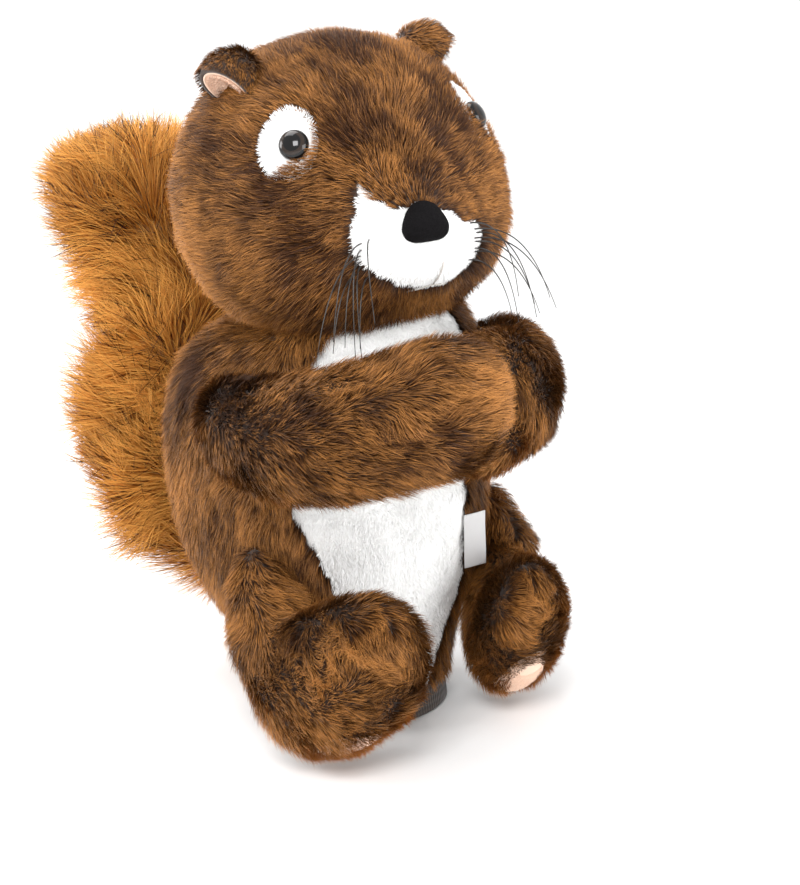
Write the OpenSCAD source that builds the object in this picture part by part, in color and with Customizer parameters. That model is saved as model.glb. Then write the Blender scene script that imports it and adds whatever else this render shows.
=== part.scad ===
// Plush squirrel cover for a golf driver: a stuffed body round a lined pocket that takes the club head
// from below, with a stuffed head, ears, arms, legs and a bushy tail sewn on.
// Frame: the origin is the centre of the mouth at the hem's lower edge, +Z is up, the face looks
// towards -Y and the squirrel's left side is +X. A left piece is drawn and the right one mirrors it.

/* [Body] */
// Width of the body over its skin
body_w = 152; // [126:1:180]
// Depth of the body over its skin, front to back
body_d = 172; // [140:1:200]
// Height of the neck seam above the hem's lower edge
neck_z = 214; // [180:1:256]
// How far the belly's centre lies behind the mouth's centre
body_back = 8; // [0:1:12]

/* [Pocket] */
// Inner radius of the relaxed mouth
mouth_r = 36; // [30:1:42]
// Height of the binding round the hem
hem_h = 14; // [10:1:20]
// Inner radius of the pocket where the club head lies
pocket_r = 60; // [50:1:61]
// Height of the elastic's centre above the hem's lower edge
elastic_z = 40; // [34:1:46]
// Width of the elastic
elastic_w = 10; // [6:1:14]
// Depth of stuffing between the pocket's top and the neck seam
crown_pad = 8; // [6:1:20]

/* [Head] */
// Width of the head over its skin
head_w = 152; // [128:1:182]
// Depth of the head over its skin
head_d = 148; // [124:1:178]
// Height of the head over its skin
head_h = 143; // [130:1:172]
// Height of the head's centre above the neck seam
head_up = 58; // [52:1:62]
// How far the head's centre lies in front of the mouth's centre
head_fore = 35; // [28:1:42]
// How far the muzzle stands out of the face
muzzle_out = 17; // [10:1:26]
// How far each cheek stands out of the face
cheek_out = 5; // [0:1:9]
// Diameter of each eye
eye_d = 14; // [9:1:18]
// Height of each white eye patch
eye_patch_h = 34; // [28:1:44]
// Width of each white eye patch
eye_patch_w = 27; // [22:1:36]
// Width of the nose
nose_w = 22; // [16:1:28]
// Diameter of each ear across its rim
ear_d = 30; // [24:1:38]
// Depth of each ear's cup
ear_cup = 20; // [16:1:24]
// Length of the longest whisker
whisker_l = 72; // [50:1:95]
// Diameter of a whisker
whisker_d = 1; // [0.8:0.1:1.4]

/* [Limbs and tail] */
// Thickness of each forearm
arm_d = 52; // [42:1:62]
// Reach of the right hand in front of the mouth's centre
hand_fore = 146; // [138:1:170]
// Width of each foot
foot_w = 50; // [40:1:58]
// Reach of the toes in front of the mouth's centre
toe_fore = 122; // [112:1:140]
// Width of the tail's lower lobe
tail_w = 104; // [84:1:126]
// Height of the tail's tip above the hem's lower edge
tail_h = 300; // [260:1:345]

/* [Cloth] */
// Thickness of the plush cloth
skin_t = 2; // [1.5:0.1:2.6]
// Thickness of the pocket's lining
lining_t = 1.2; // [0.8:0.1:1.6]
// Thickness of the tape that binds the hem
tape_t = 1; // [0.8:0.1:1.4]
// Clearance between layers and round moving seams
seam_gap = 0.3; // [0.2:0.05:0.5]
// Clearance between faceted stuffing and its cloth
pad_gap = 0.8; // [0.6:0.05:0.95]
// Width of the blank side label
label_w = 12; // [8:1:18]
// Length of the blank side label
label_h = 30; // [20:1:40]

/* [Hidden] */
fur_brown = "#8a6a4c";
fur_tan = "#c48f52";
fur_white = "#f2eee6";
stuffing_white = "#e9e6df";
peach = "#e8b998";

// ---- curves and closed surfaces ----

// A smooth curve through the rows of p, which may hold any numbers; t runs from 0 to len(p) - 1.
function spline(p, t) = let (n = len(p) - 1, i = min(floor(t), n - 1), f = t - i,
    a = p[max(i - 1, 0)], b = p[i], c = p[i + 1], d = p[min(i + 2, n)])
    0.5 * (2 * b + (c - a) * f + (2 * a - 5 * b + 4 * c - d) * f * f
        + (3 * b - a - 3 * c + d) * f * f * f);
function unit(v) = v / norm(v);
function mix(a, b, f) = a + (b - a) * f;
function flat(lists) = [for (l = lists) each l];
function reversed(l) = [for (i = [len(l) - 1:-1:0]) l[i]];
function middle(ring) = [for (k = [0:2]) [for (p = ring) p[k]] * [for (p = ring) 1] / len(ring)];
// The two triangles of a four-sided face.
function halves(a, b, c, d) = [[a, b, c], [a, c, d]];

// A closed skin over rings of equal length, closed at both ends to the middle of its ring.
module loft(rings) {
    n = len(rings[0]);
    m = len(rings);
    sides = flat([for (i = [0:m - 2], j = [0:n - 1]) let (k = (j + 1) % n)
        halves((i + 1) * n + j, (i + 1) * n + k, i * n + k, i * n + j)]);
    first = [for (j = [0:n - 1]) [j, (j + 1) % n, m * n]];
    last = [for (j = [0:n - 1]) [(m - 1) * n + (j + 1) % n, (m - 1) * n + j, m * n + 1]];
    polyhedron(concat(flat(rings), [middle(rings[0]), middle(rings[m - 1])]),
        concat(sides, first, last));
}

// A piece of cloth between an outer and an inner grid of points; rows run along the first direction.
module cloth(outer, inner) {
    m = len(outer);
    n = len(outer[0]);
    faces = concat(
        flat([for (i = [0:m - 2], j = [0:n - 2])
            halves((i + 1) * n + j, (i + 1) * n + j + 1, i * n + j + 1, i * n + j)]),
        flat([for (i = [m:2 * m - 2], j = [0:n - 2])
            halves(i * n + j, i * n + j + 1, (i + 1) * n + j + 1, (i + 1) * n + j)]),
        flat([for (j = [0:n - 2]) halves(j, j + 1, m * n + j + 1, m * n + j)]),
        flat([for (j = [0:n - 2]) let (o = (m - 1) * n + j, q = (2 * m - 1) * n + j)
            halves(q + 1, o + 1, o, q)]),
        flat([for (i = [0:m - 2]) halves((m + i) * n, (m + i + 1) * n, (i + 1) * n, i * n)]),
        flat([for (i = [0:m - 2]) let (o = i * n + n - 1, q = (m + i) * n + n - 1)
            halves(o + n, q + n, q, o)]));
    polyhedron(concat(flat(outer), flat(inner)), faces);
}

// Draws a left piece, or its mirror image.
module on_side(side) {
    if (side < 0) mirror([1, 0, 0]) children();
    else children();
}

// ---- the body ----

sleeve_gap = 1;
lining_r = mouth_r + tape_t + seam_gap;
sleeve_r = lining_r + lining_t + sleeve_gap + skin_t;
hem_r = sleeve_r + seam_gap + tape_t;
head_c = [0, -head_fore, neck_z + head_up];
neck_e = -asin((head_up - seam_gap) / (head_h / 2));
// Rows of the body's skin from the hem to the neck: height, half width, half depth, centre's y.
trunk_rows = [
    [tape_t + seam_gap, sleeve_r, sleeve_r, 0],
    [hem_h + 2, sleeve_r, sleeve_r, 0],
    [0.20 * neck_z, 0.65 * body_w / 2, 0.61 * body_d / 2, 0.45 * body_back],
    [0.33 * neck_z, 0.85 * body_w / 2, 0.82 * body_d / 2, body_back],
    [0.47 * neck_z, 0.96 * body_w / 2, 0.95 * body_d / 2, 1.3 * body_back],
    [0.61 * neck_z, body_w / 2, body_d / 2, 1.2 * body_back],
    [0.79 * neck_z, 0.985 * body_w / 2, 0.96 * body_d / 2, 0.4 * body_back],
    [0.91 * neck_z, 0.90 * body_w / 2, 0.86 * body_d / 2, -0.2 * head_fore],
    [0.975 * neck_z, 0.74 * body_w / 2, 0.66 * body_d / 2, -0.62 * head_fore],
    [neck_z, cos(neck_e) * head_w / 2, cos(neck_e) * head_d / 2, -head_fore]];
trunk_steps = 2;
trunk = [for (u = [0:1 / trunk_steps:len(trunk_rows) - 1]) spline(trunk_rows, u)];
function trunk_row(z) = concat([z], [for (k = [1:3]) lookup(z, [for (r = trunk) [r[0], r[k]]])]);
// A point of the body's skin at angle a from the front towards the left, a depth below its face.
function trunk_pt(row, a, depth = 0) =
    [(row[1] - depth) * sin(a), row[3] - (row[2] - depth) * cos(a), row[0]];
function trunk_at(a, z, depth = 0) = trunk_pt(trunk_row(z), a, depth);
function trunk_out(a, z) = unit(cross(trunk_at(a + 2, z) - trunk_at(a - 2, z),
    trunk_at(a, z + 2) - trunk_at(a, z - 2)));
// Half angle of the white belly at each height.
belly_table = [for (r = [[0, 5], [0.20, 7], [0.33, 22], [0.47, 37], [0.61, 43], [0.79, 40], [0.93, 34],
    [1, 30]]) [r[0] * neck_z, r[1]]];
// The soft body sits turned a little to its right, so the belly does too.
belly_turn = -7;
back_a = 118;

module trunk_panel(first, last, cols) {
    grid = function (depth) [for (r = trunk) let (a = first(r[0]), b = last(r[0]))
        [for (j = [0:cols]) trunk_pt(r, mix(a, b, j / cols), depth)]];
    cloth(grid(0), grid(skin_t));
}

module hem_binding() {
    color(fur_brown) rotate_extrude($fn = 96) polygon([[mouth_r, 0], [hem_r, 0], [hem_r, hem_h],
        [sleeve_r + seam_gap, hem_h], [sleeve_r + seam_gap, tape_t], [lining_r - seam_gap, tape_t],
        [lining_r - seam_gap, hem_h], [mouth_r, hem_h]]);
}

// Rows of the pocket from the hem to its closed top: height and inner radius.
pocket_top = neck_z - crown_pad;
pocket_rows = [
    [tape_t + seam_gap, lining_r], [hem_h + 2, lining_r], [elastic_z - elastic_w / 2, mouth_r],
    [elastic_z + elastic_w / 2, mouth_r], [0.30 * pocket_top, mouth_r + 6],
    [0.39 * pocket_top, 0.85 * pocket_r], [0.48 * pocket_top, 0.95 * pocket_r],
    [0.62 * pocket_top, pocket_r], [0.78 * pocket_top, pocket_r], [0.89 * pocket_top, 0.85 * pocket_r],
    [0.95 * pocket_top, 0.65 * pocket_r], [0.98 * pocket_top, 0.4 * pocket_r]];

module pocket_lining() {
    color(peach) rotate_extrude($fn = 96) polygon(concat(
        [for (r = pocket_rows) [r[1], r[0]]], [[0, pocket_top - lining_t], [0, pocket_top]],
        [for (r = reversed(pocket_rows)) let (f = r[0] > 0.9 * pocket_top ? 0.7 : 0)
            [r[1] + (1 - f / 2) * lining_t, r[0] + f * lining_t]]));
}

module neck_elastic() {
    band_r = mouth_r + lining_t + seam_gap;
    color("white") translate([0, 0, elastic_z - elastic_w / 2]) rotate_extrude($fn = 96)
        polygon([[band_r, 0.5], [band_r + 1, 0.5], [band_r + 1, elastic_w - 0.5],
            [band_r, elastic_w - 0.5]]);
}

// The stuffing lies between the skin and the lining, and leaves room for the elastic.
stuffing_z = hem_h + 14;
elastic_room = 1.6;
module body_stuffing() {
    n = 36;
    foot = [stuffing_z, lookup(stuffing_z, pocket_rows)];
    top = [pocket_top + lining_t, 0.3 * pocket_r];
    inner = [for (r = concat([foot], [for (q = pocket_rows) if (q[0] > stuffing_z + 1) q], [top]))
        [for (j = [0:n - 1]) let (f = r[0] > 0.9 * pocket_top ? 0.8 : 0, q = r[1] + lining_t + elastic_room)
            [q * sin(360 * j / n), -q * cos(360 * j / n), r[0] + f * elastic_room]]];
    outer = [for (r = trunk) if (r[0] > stuffing_z + 1 && r[0] < neck_z - 1)
        [for (j = [0:n - 1]) trunk_pt(r, 360 * j / n, skin_t + pad_gap)]];
    base = [for (j = [0:n - 1]) trunk_at(360 * j / n, stuffing_z, skin_t + pad_gap)];
    lid = [for (j = [0:n - 1]) trunk_at(360 * j / n, neck_z - 0.6, skin_t + pad_gap)];
    color(stuffing_white) loft(concat(reversed(inner), [base], outer, [lid]));
}

module belly_panel() {
    color(fur_white) trunk_panel(function (z) belly_turn - lookup(z, belly_table),
        function (z) belly_turn + lookup(z, belly_table), 8);
}
module back_panel() {
    color(fur_brown) trunk_panel(function (z) back_a, function (z) 360 - back_a, 12);
}
module side_panel(side) {
    color(fur_brown) on_side(side)
        trunk_panel(function (z) lookup(z, belly_table) + side * belly_turn, function (z) back_a, 9);
}

// A blank cloth tab sewn into the belly's left seam; it stands out over the thigh.
label_z = 0.43 * neck_z;
label_a = belly_turn + lookup(label_z, belly_table);
label_turn = 40;
label_t = 0.8;
module side_label() {
    p = trunk_at(label_a, label_z);
    out = trunk_out(label_a, label_z);
    turn = atan2(out[0], -out[1]) - label_turn;
    lean = asin(out[2]);
    color("white") translate(p + (pad_gap + label_t / 2) * out) rotate([0, 0, turn]) rotate([-lean, 0, 0])
        translate([label_w / 2 - 1, 0, 0]) cube([label_w, label_t, label_h], center = true);
}

// ---- the head ----

muzzle_e = -19;
muzzle_spread = [21, 17];
cheek_a = 52;
cheek_e = -24;
cheek_spread = [26, 24];
function bump(a, e, a0, e0, spread) =
    exp(-pow((a - a0) / spread[0], 2) - pow((e - e0) / spread[1], 2));
function head_swell(a, e) = muzzle_out * bump(a, e, 0, muzzle_e, muzzle_spread)
    + cheek_out * (bump(a, e, cheek_a, cheek_e, cheek_spread)
        + bump(a, e, -cheek_a, cheek_e, cheek_spread));
// A point of the head's skin at angle a from the front towards the left and angle e above level.
function head_pt(a, e, depth = 0) = let (s = a > 180 ? a - 360 : a, k = 1 + 2 * head_swell(s, e) / head_d)
    head_c + k * [(head_w / 2 - depth) * cos(e) * sin(a), -(head_d / 2 - depth) * cos(e) * cos(a),
        (head_h / 2 - depth) * sin(e)];
function head_out(a, e) = unit(cross(head_pt(a + 1, e) - head_pt(a - 1, e),
    head_pt(a, e + 1) - head_pt(a, e - 1)));

// The head's seams follow common lines, so neighbouring panels meet edge to edge.
face_a = 30;
ear_seam_a = 96;
muzzle_low = -42;
muzzle_high = 0;
crown_e = 62;
function steps(a, b, n) = [for (i = [0:n]) mix(a, b, i / n)];
face_as = steps(-face_a, face_a, 12);
cheek_as = steps(face_a, ear_seam_a, 8);
back_as = steps(ear_seam_a, 360 - ear_seam_a, 18);
chin_es = steps(neck_e, muzzle_low, 2);
muzzle_es = steps(muzzle_low, muzzle_high, 8);
forehead_es = steps(muzzle_high, crown_e, 7);
side_es = concat(chin_es, [for (i = [1:8]) muzzle_es[i]], [for (i = [1:7]) forehead_es[i]]);
round_as = concat([for (i = [0:11]) face_as[i]], [for (i = [0:7]) cheek_as[i]],
    [for (i = [0:17]) back_as[i]], [for (i = [8:-1:1]) 360 - cheek_as[i]]);

module head_piece(as, es) {
    grid = function (depth) [for (e = es) [for (a = as) head_pt(a, e, depth)]];
    cloth(grid(0), grid(skin_t));
}
module forehead_panel() { color(fur_brown) head_piece(face_as, forehead_es); }
module muzzle_panel() { color(fur_white) head_piece(face_as, muzzle_es); }
module chin_panel() { color(fur_brown) head_piece(face_as, chin_es); }
module cheek_panel(side) { color(fur_brown) on_side(side) head_piece(cheek_as, side_es); }
module head_back_panel() { color(fur_brown) head_piece(back_as, side_es); }
module crown_panel() {
    ring = function (e, depth) [for (a = round_as) head_pt(a, e, depth)];
    es = [crown_e, 71, 80, 89];
    color(fur_brown) loft(concat([for (e = reversed(es)) ring(e, skin_t)], [for (e = es) ring(e, 0)]));
}
module head_stuffing() {
    color(stuffing_white) loft([for (e = concat(side_es, [71, 80, 89]))
        [for (a = round_as) head_pt(a, e, skin_t + seam_gap)]]);
}

// A round patch of cloth lying on the head about (a0, e0), with half sizes given by reach(angle).
module head_patch(a0, e0, lift, thick, reach, n = 20) {
    ring = function (f, depth) [for (j = [0:n - 1]) let (t = 360 * j / n, r = reach(t) * f,
        a = a0 + r * cos(t) / (head_w / 2) * 180 / PI / cos(e0),
        e = e0 + r * sin(t) / (head_h / 2) * 180 / PI) head_pt(a, e, depth)];
    fs = [0.04, 0.5, 1];
    loft(concat([for (f = fs) ring(f, -lift)], [for (f = reversed(fs)) ring(f, -lift - thick)]));
}

eye_a = 43;
eye_e = 23;
eye_c = head_pt(eye_a, eye_e);
patch_t = 1.4;
patch_a = eye_a + 2.5;
patch_e = eye_e + 1;
function patch_reach(t) = (eye_patch_w / 2) * (eye_patch_h / 2)
    / norm([(eye_patch_h / 2) * cos(t), (eye_patch_w / 2) * sin(t)]);
module eye_patch(side) {
    color(fur_white) on_side(side) head_patch(patch_a, patch_e, seam_gap, patch_t,
        function (t) patch_reach(t));
}

// Turns its children so that their +Z leaves the head along v.
module facing(v) {
    rotate([0, acos(v[2]), atan2(v[1], v[0])]) children();
}
eye_out = head_out(eye_a, eye_e);
shank_r = 2.4;
shank_l = 14;
module eye(side) {
    dome = 0.62 * eye_d / 2;
    color("#151210") on_side(side) translate(eye_c + (seam_gap + patch_t + 0.3) * eye_out)
        facing(eye_out) {
            rotate_extrude($fn = 48) polygon(concat([[0, 0]],
                [for (t = [0:10:90]) [eye_d / 2 * cos(t), 0.8 + dome * sin(t)]]));
            rotate([180, 0, 0]) cylinder(h = shank_l, r = shank_r, $fn = 24);
        }
}
washer_depth = 8;
module eye_washer(side) {
    color("white") on_side(side) translate(eye_c - washer_depth * eye_out) facing(eye_out)
        difference() {
            cylinder(h = 1.6, r = eye_d / 2 + 1, center = true, $fn = 36);
            cylinder(h = 3, r = shank_r, center = true, $fn = 24);
        }
}

// The nose: a rounded three-cornered pad on the muzzle, sewn a little to the squirrel's right.
nose_a = -4;
nose_e = -9;
nose_t = 9;
nose_c = head_pt(nose_a, nose_e);
nose_dir = head_out(nose_a, nose_e);
module nose() {
    n = 24;
    span = function (t) nose_w / 2 * (1 + 0.10 * sin(t) - 0.09 * sin(3 * t));
    ring = function (f, h) [for (j = [0:n - 1]) let (t = 360 * j / n)
        [f * span(t) * cos(t), 0.86 * f * span(t) * sin(t), h - 0.012 * pow(f * span(t) * cos(t), 2)]];
    profile = [for (q = [0:15:75]) [cos(q), nose_t * sin(q)]];
    color("#17120f") translate(nose_c + 0.5 * nose_dir) facing(nose_dir) rotate([0, 0, 90])
        loft(concat([ring(0.05, 0), ring(0.6, 0)], [for (q = profile) ring(q[0], q[1])],
            [ring(0.08, nose_t)]));
}
module mouth_stitch() {
    color("#2a1c14") {
        for (s = [-1, 0, 1]) {
            ends = s == 0 ? [[0, -20], [0, -29]] : [[0, -29.5], [s * 9, -33]];
            pts = [for (f = [0:0.25:1]) let (q = mix(ends[0], ends[1], f)) head_pt(q[0], q[1], -0.9)];
            thread(pts, 0.5, s == 0 ? [1, 0, 0] : [0, 0, 1]);
        }
    }
}
// A thin round thread through points, with its sections square to the path.
module thread(pts, r, side = [0, 0, 1], sides = 6, taper = 1) {
    m = len(pts) - 1;
    loft([for (i = [0:m]) let (t = unit(pts[min(i + 1, m)] - pts[max(i - 1, 0)]),
        u = unit(side - (side * t) * t), s = cross(u, t), q = r * mix(1, taper, i / m))
        [for (j = [0:sides - 1]) pts[i] + q * (s * cos(360 * j / sides) + u * sin(360 * j / sides))]]);
}

// Whiskers of one side: angle and height of each root, how far it droops and how long it is.
whisker_rows = [[21, -12, 0.62, 0.9], [26, -15, 0.76, 0.92], [22, -19, 0.72, 0.82], [27, -22, 0.8, 0.74],
    [22, -26, 0.78, 0.6]];
module whiskers(side) {
    color("#1a1613") on_side(side) for (w = whisker_rows) {
        root = head_pt(w[0], w[1], -0.1 - whisker_d / 2);
        l = w[3] * whisker_l;
        pts = [for (f = [0:0.125:1]) root + l * [0.60 * f - 0.26 * f * f, -0.40 * f + 0.22 * f * f,
            0.05 * f - w[2] * f * f]];
        thread(pts, whisker_d / 2, [0, 0, 1], 6, 0.7);
    }
}

// The ears: deep hoods that open outwards and down. Each is most of a bowl, without the part that
// would lie in the head, and its two lower corners are sewn to the head.
ear_a = 82;
ear_e = 45;
ear_t = 3;
ear_sink = 0.4;
ear_droop = 42;
ear_turn = 12;
ear_arc = 230;
ear_rise = -ear_d / 2 * cos(ear_arc / 2) - ear_sink;
ear_seat = head_pt(ear_a, ear_e);
module in_ear(side) {
    on_side(side) translate(ear_seat) rotate([0, 0, -ear_turn]) rotate([0, 90 + ear_droop, 0])
        translate([-ear_rise, 0, 0]) children();
}
module ear_bowl(r, depth, wall) {
    outer = [for (q = [0:15:90]) [r * sin(q), -depth * cos(q)]];
    inner = [for (q = [90:-15:0]) [(r - wall) * sin(q), -(depth - wall) * cos(q)]];
    rotate([0, 0, 180 - ear_arc / 2]) rotate_extrude(angle = ear_arc, $fn = 48) polygon(concat(outer, inner));
}
module ear(side) { color(fur_brown) in_ear(side) ear_bowl(ear_d / 2, ear_cup, ear_t); }
module ear_lining(side) {
    inset = ear_t + seam_gap;
    color(peach) in_ear(side) ear_bowl(ear_d / 2 - inset, ear_cup - inset, skin_t);
}

// ---- limbs and tail: closed forms made of stations, each a centre and two half axes ----

function station_pt(st, t, depth) = st[0]
    + st[1] * max(1 - depth / norm(st[1]), 0.2) * cos(t) + st[2] * max(1 - depth / norm(st[2]), 0.2) * sin(t);
// Stations along a curve of rows [x, y, z, half width, half height], square to the curve.
function path_station(rows, u) = let (n = len(rows) - 1, r = spline(rows, u),
    q = spline(rows, min(u + 0.05, n)) - spline(rows, max(u - 0.05, 0)),
    t = unit([q[0], q[1], q[2]]), up = unit([0, 0, 1] - t[2] * t), s = cross(up, t))
    [[r[0], r[1], r[2]], s * r[3], up * r[4]];
// Stations between two rails, rows [x, y, z of one rail, y, z of the other, half width across X].
function rail_station(rows, u) = let (r = spline(rows, u), a = [r[0], r[1], r[2]], b = [r[0], r[3], r[4]])
    [(a + b) / 2, [r[5], 0, 0], (a - b) / 2];
function stations(rows, railed, steps, trim = 0) = let (n = len(rows) - 1)
    [for (i = [0:steps]) let (u = mix(trim, n - trim, i / steps))
        railed ? rail_station(rows, u) : path_station(rows, u)];
module limb_cloth(rows, railed, steps, t0, t1, cols, thick, trim) {
    grid = function (sts, depth) [for (st = sts) [for (j = [0:cols])
        station_pt(st, mix(t0, t1, j / cols), depth)]];
    cloth(grid(stations(rows, railed, steps), 0), grid(stations(rows, railed, steps, trim), thick));
}
module limb_stuffing(rows, railed, steps, n, thick, trim) {
    loft([for (st = stations(rows, railed, steps, trim)) [for (j = [0:n - 1])
        station_pt(st, 360 * j / n, thick)]]);
}

// Each arm leaves its shoulder seam and goes forward round the body. The left hand lies on the chest,
// and the right hand lies in front of it.
shoulder_a = 62;
shoulder_z = 0.845 * neck_z;
arm_root_r = 9;
shoulder = trunk_at(shoulder_a, shoulder_z) + (arm_root_r - 0.6) * trunk_out(shoulder_a, shoulder_z);
arm_r = arm_d / 2;
left_hand_fore = 0.52 * body_d + 0.72 * arm_r;
// Rows: share of the way to the finger tips, how far out of the straight line, rise, half sizes.
right_arm_rows = [[-0.05, -0.5, 2, 0.10, 0.12], [0, -0.5, 0, 0.41, 0.46],
    [0.12, 17, -4, 0.62, 0.72], [0.28, 28, -8, 0.80, 0.88], [0.57, 41.5, -9, 0.96, 1.02],
    [0.81, 37, -5, 0.93, 1.06], [0.93, 23, 0, 0.92, 1.10], [0.975, 10, 2, 0.72, 0.92],
    [0.993, 2, 2, 0.34, 0.46], [1, -1, 2, 0.04, 0.05]];
left_arm_rows = [[-0.07, 0, 2, 0.10, 0.12], [0, 0.4, 0, 0.33, 0.46],
    [0.357, 23.5, -6, 0.62, 0.82], [0.686, 33.4, -12, 0.80, 1.04], [0.907, 23.5, -13, 0.85, 1.15],
    [0.971, 12.8, -13, 0.73, 1.05], [0.992, 3, -13, 0.38, 0.6], [1, -1, -13, 0.04, 0.05]];
function arm_rows(side) = let (tip = side < 0 ? [-6, -hand_fore] : [-3, -left_hand_fore])
    [for (q = side < 0 ? right_arm_rows : left_arm_rows)
        [mix(shoulder[0], tip[0], q[0]) + q[1], mix(shoulder[1], tip[1], q[0]), shoulder_z + q[2],
            q[3] * arm_r, q[4] * arm_r]];
arm_trim = 0.24;
// The arms bend sharply, so their stuffing keeps a little more clearance.
arm_pad = 0.5;
module arm_outer(side) {
    color(fur_brown) on_side(side) limb_cloth(arm_rows(side), false, 16, 270, 90 + 360, 8, skin_t, arm_trim);
}
module arm_inner(side) {
    color(fur_brown) on_side(side) limb_cloth(arm_rows(side), false, 16, 90, 270, 8, skin_t, arm_trim);
}
module arm_stuffing(side) {
    color(stuffing_white) on_side(side)
        limb_stuffing(arm_rows(side), false, 16, 16, skin_t + pad_gap + arm_pad, 1.3 * arm_trim);
}

// The leg hangs from the hip seam beside the belly, and its foot points forward and up.
hip_a = 60;
hip_z = 0.475 * neck_z;
leg_root_r = 6;
hip = trunk_at(hip_a, hip_z) + (leg_root_r + 4 * seam_gap) * trunk_out(hip_a, hip_z);
foot_r = foot_w / 2;
// The left foot lies a little further back and further in, and its leg is slimmer on its outer side.
left_toe_lag = 15;
left_foot_in = 5;
left_leg_slim = 0.84;
left_thigh_slim = 0.7;
right_instep = 10;
// Rows: x, front rail's y and z, back rail's y and z, half width.
function leg_rows(side) = let (x = hip[0] - 14 - (side > 0 ? left_foot_in : 0),
    toe = -toe_fore + (side > 0 ? left_toe_lag : 0), y = hip[1], slim = side > 0 ? left_leg_slim : 1,
    thigh = side > 0 ? left_thigh_slim : 1,
    lift = side > 0 ? 0 : right_instep,
    rows = [
        [hip[0], y - 1, hip_z + 7, y + 1, hip_z + 7, 1],
        [hip[0], y - 7, hip_z + 1, y + 7, hip_z + 1, leg_root_r],
        [hip[0] + 2, y - 16, hip_z - 8, y + 9, hip_z - 14, 0.50 * foot_r],
        [hip[0] + 2.5, y - 25, hip_z - 19, y + 4, hip_z - 36, 0.70 * foot_r],
        [x + 12, y - 33, hip_z - 27 + 0.5 * lift, y - 3, hip_z - 64, 0.90 * foot_r],
        [x + 7, mix(y, toe, 0.56), 75 + lift, mix(y, toe, 0.20), 12, 1.02 * foot_r],
        [x + 1, mix(y, toe, 0.74), 81 + lift, mix(y, toe, 0.56), 14, 1.02 * foot_r],
        [x - 4, mix(y, toe, 0.90), 82 + 0.8 * lift, mix(y, toe, 0.86), 34, 0.84 * foot_r],
        [x - 7, toe + 0.5, 71 + 0.5 * lift, toe + 0.5, 53, 0.4 * foot_r],
        [x - 7, toe - 1, 63, toe - 1, 61, 1]])
    [for (i = [0:len(rows) - 1]) let (r = rows[i], f = r[5] <= leg_root_r ? 1 : i < 5 ? thigh : slim)
        [r[0] - (1 - f) * r[5], r[1], r[2], r[3], r[4], f * r[5]]];
leg_trim = 0.26;
module leg_outer(side) {
    color(fur_brown) on_side(side) limb_cloth(leg_rows(side), true, 18, -90, 90, 8, skin_t, leg_trim);
}
module leg_inner(side) {
    color(fur_brown) on_side(side) limb_cloth(leg_rows(side), true, 18, 90, 270, 8, skin_t, leg_trim);
}
module leg_stuffing(side) {
    color(stuffing_white) on_side(side)
        limb_stuffing(leg_rows(side), true, 18, 16, skin_t + pad_gap, 1.1 * leg_trim);
}
// The peach sole lies on the under side of the foot.
sole_t = 1.6;
module sole(side) {
    n = 20;
    first_u = 4.9;
    last_u = 7.5;
    under = function (f, t, lift) let (u = mix(first_u, last_u, 0.5 - 0.5 * f * cos(t)),
        st = rail_station(leg_rows(side), u)) station_pt(st, 270 + 40 * f * sin(t), -lift);
    ring = function (f, lift) [for (j = [0:n - 1]) under(f, 360 * j / n, lift)];
    face = sole_t + pad_gap;
    color(peach) on_side(side) loft([ring(0.05, face), ring(0.6, face), ring(1, face), ring(1, pad_gap),
        ring(0.6, pad_gap), ring(0.05, pad_gap)]);
}

// The tail rises behind the body in two lobes with a waist between them.
tail_z = 0.27 * neck_z;
tail_root_r = 7;
tail_root = trunk_at(180, tail_z) + (tail_root_r + 11 * seam_gap) * trunk_out(180, tail_z);
tail_y = body_d / 2 + 1.2 * body_back + 3.4;
lobe = tail_w / 2;
tail_x = -24;
// Rows: x, back rail's y and z, front rail's y and z, half width.
tail_rows = [
    [0, tail_root[1] + 2, tail_z - 7, tail_root[1] - 2, tail_z - 6, 1],
    [0, tail_root[1] + 7, tail_z - 3, tail_root[1] - 7, tail_z + 1, 0.24 * lobe],
    [0.35 * tail_x, tail_y + 14, tail_z + 4, tail_y - 10, tail_z + 22, 0.62 * lobe],
    [0.7 * tail_x, tail_y + 42, tail_z + 32, tail_y, tail_z + 44, 0.88 * lobe],
    [0.9 * tail_x, tail_y + 54, tail_z + 68, tail_y + 2, tail_z + 72, lobe],
    [tail_x, tail_y + 52, tail_z + 108, tail_y, tail_z + 106, 0.96 * lobe],
    [tail_x, tail_y + 38, tail_z + 145, tail_y - 2, tail_z + 138, 0.68 * lobe],
    [tail_x, tail_y + 42, tail_z + 172, tail_y + 4, tail_z + 170, 0.66 * lobe],
    [1.1 * tail_x, tail_y + 60, mix(tail_z + 172, tail_h, 0.42), tail_y + 10, mix(tail_z + 170, tail_h, 0.5),
        0.84 * lobe],
    [1.2 * tail_x, tail_y + 66, mix(tail_z + 172, tail_h, 0.76), tail_y + 24, tail_h - 9, 0.74 * lobe],
    [1.25 * tail_x, tail_y + 62, tail_h - 5, tail_y + 42, tail_h - 1, 0.42 * lobe],
    [1.25 * tail_x, tail_y + 54, tail_h, tail_y + 52, tail_h, 1]];
// The tail's cloth is drawn with its dense underpile.
tail_skin_t = 4;
tail_trim = 0.3;
module tail_front_panel() {
    color(fur_tan) limb_cloth(tail_rows, true, 22, 180, 360, 9, tail_skin_t, tail_trim);
}
module tail_back_panel() {
    color(fur_tan) limb_cloth(tail_rows, true, 22, 0, 180, 9, tail_skin_t, tail_trim);
}
module tail_stuffing() {
    color(stuffing_white) limb_stuffing(tail_rows, true, 22, 18, tail_skin_t + pad_gap, 1.2 * tail_trim);
}

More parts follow.
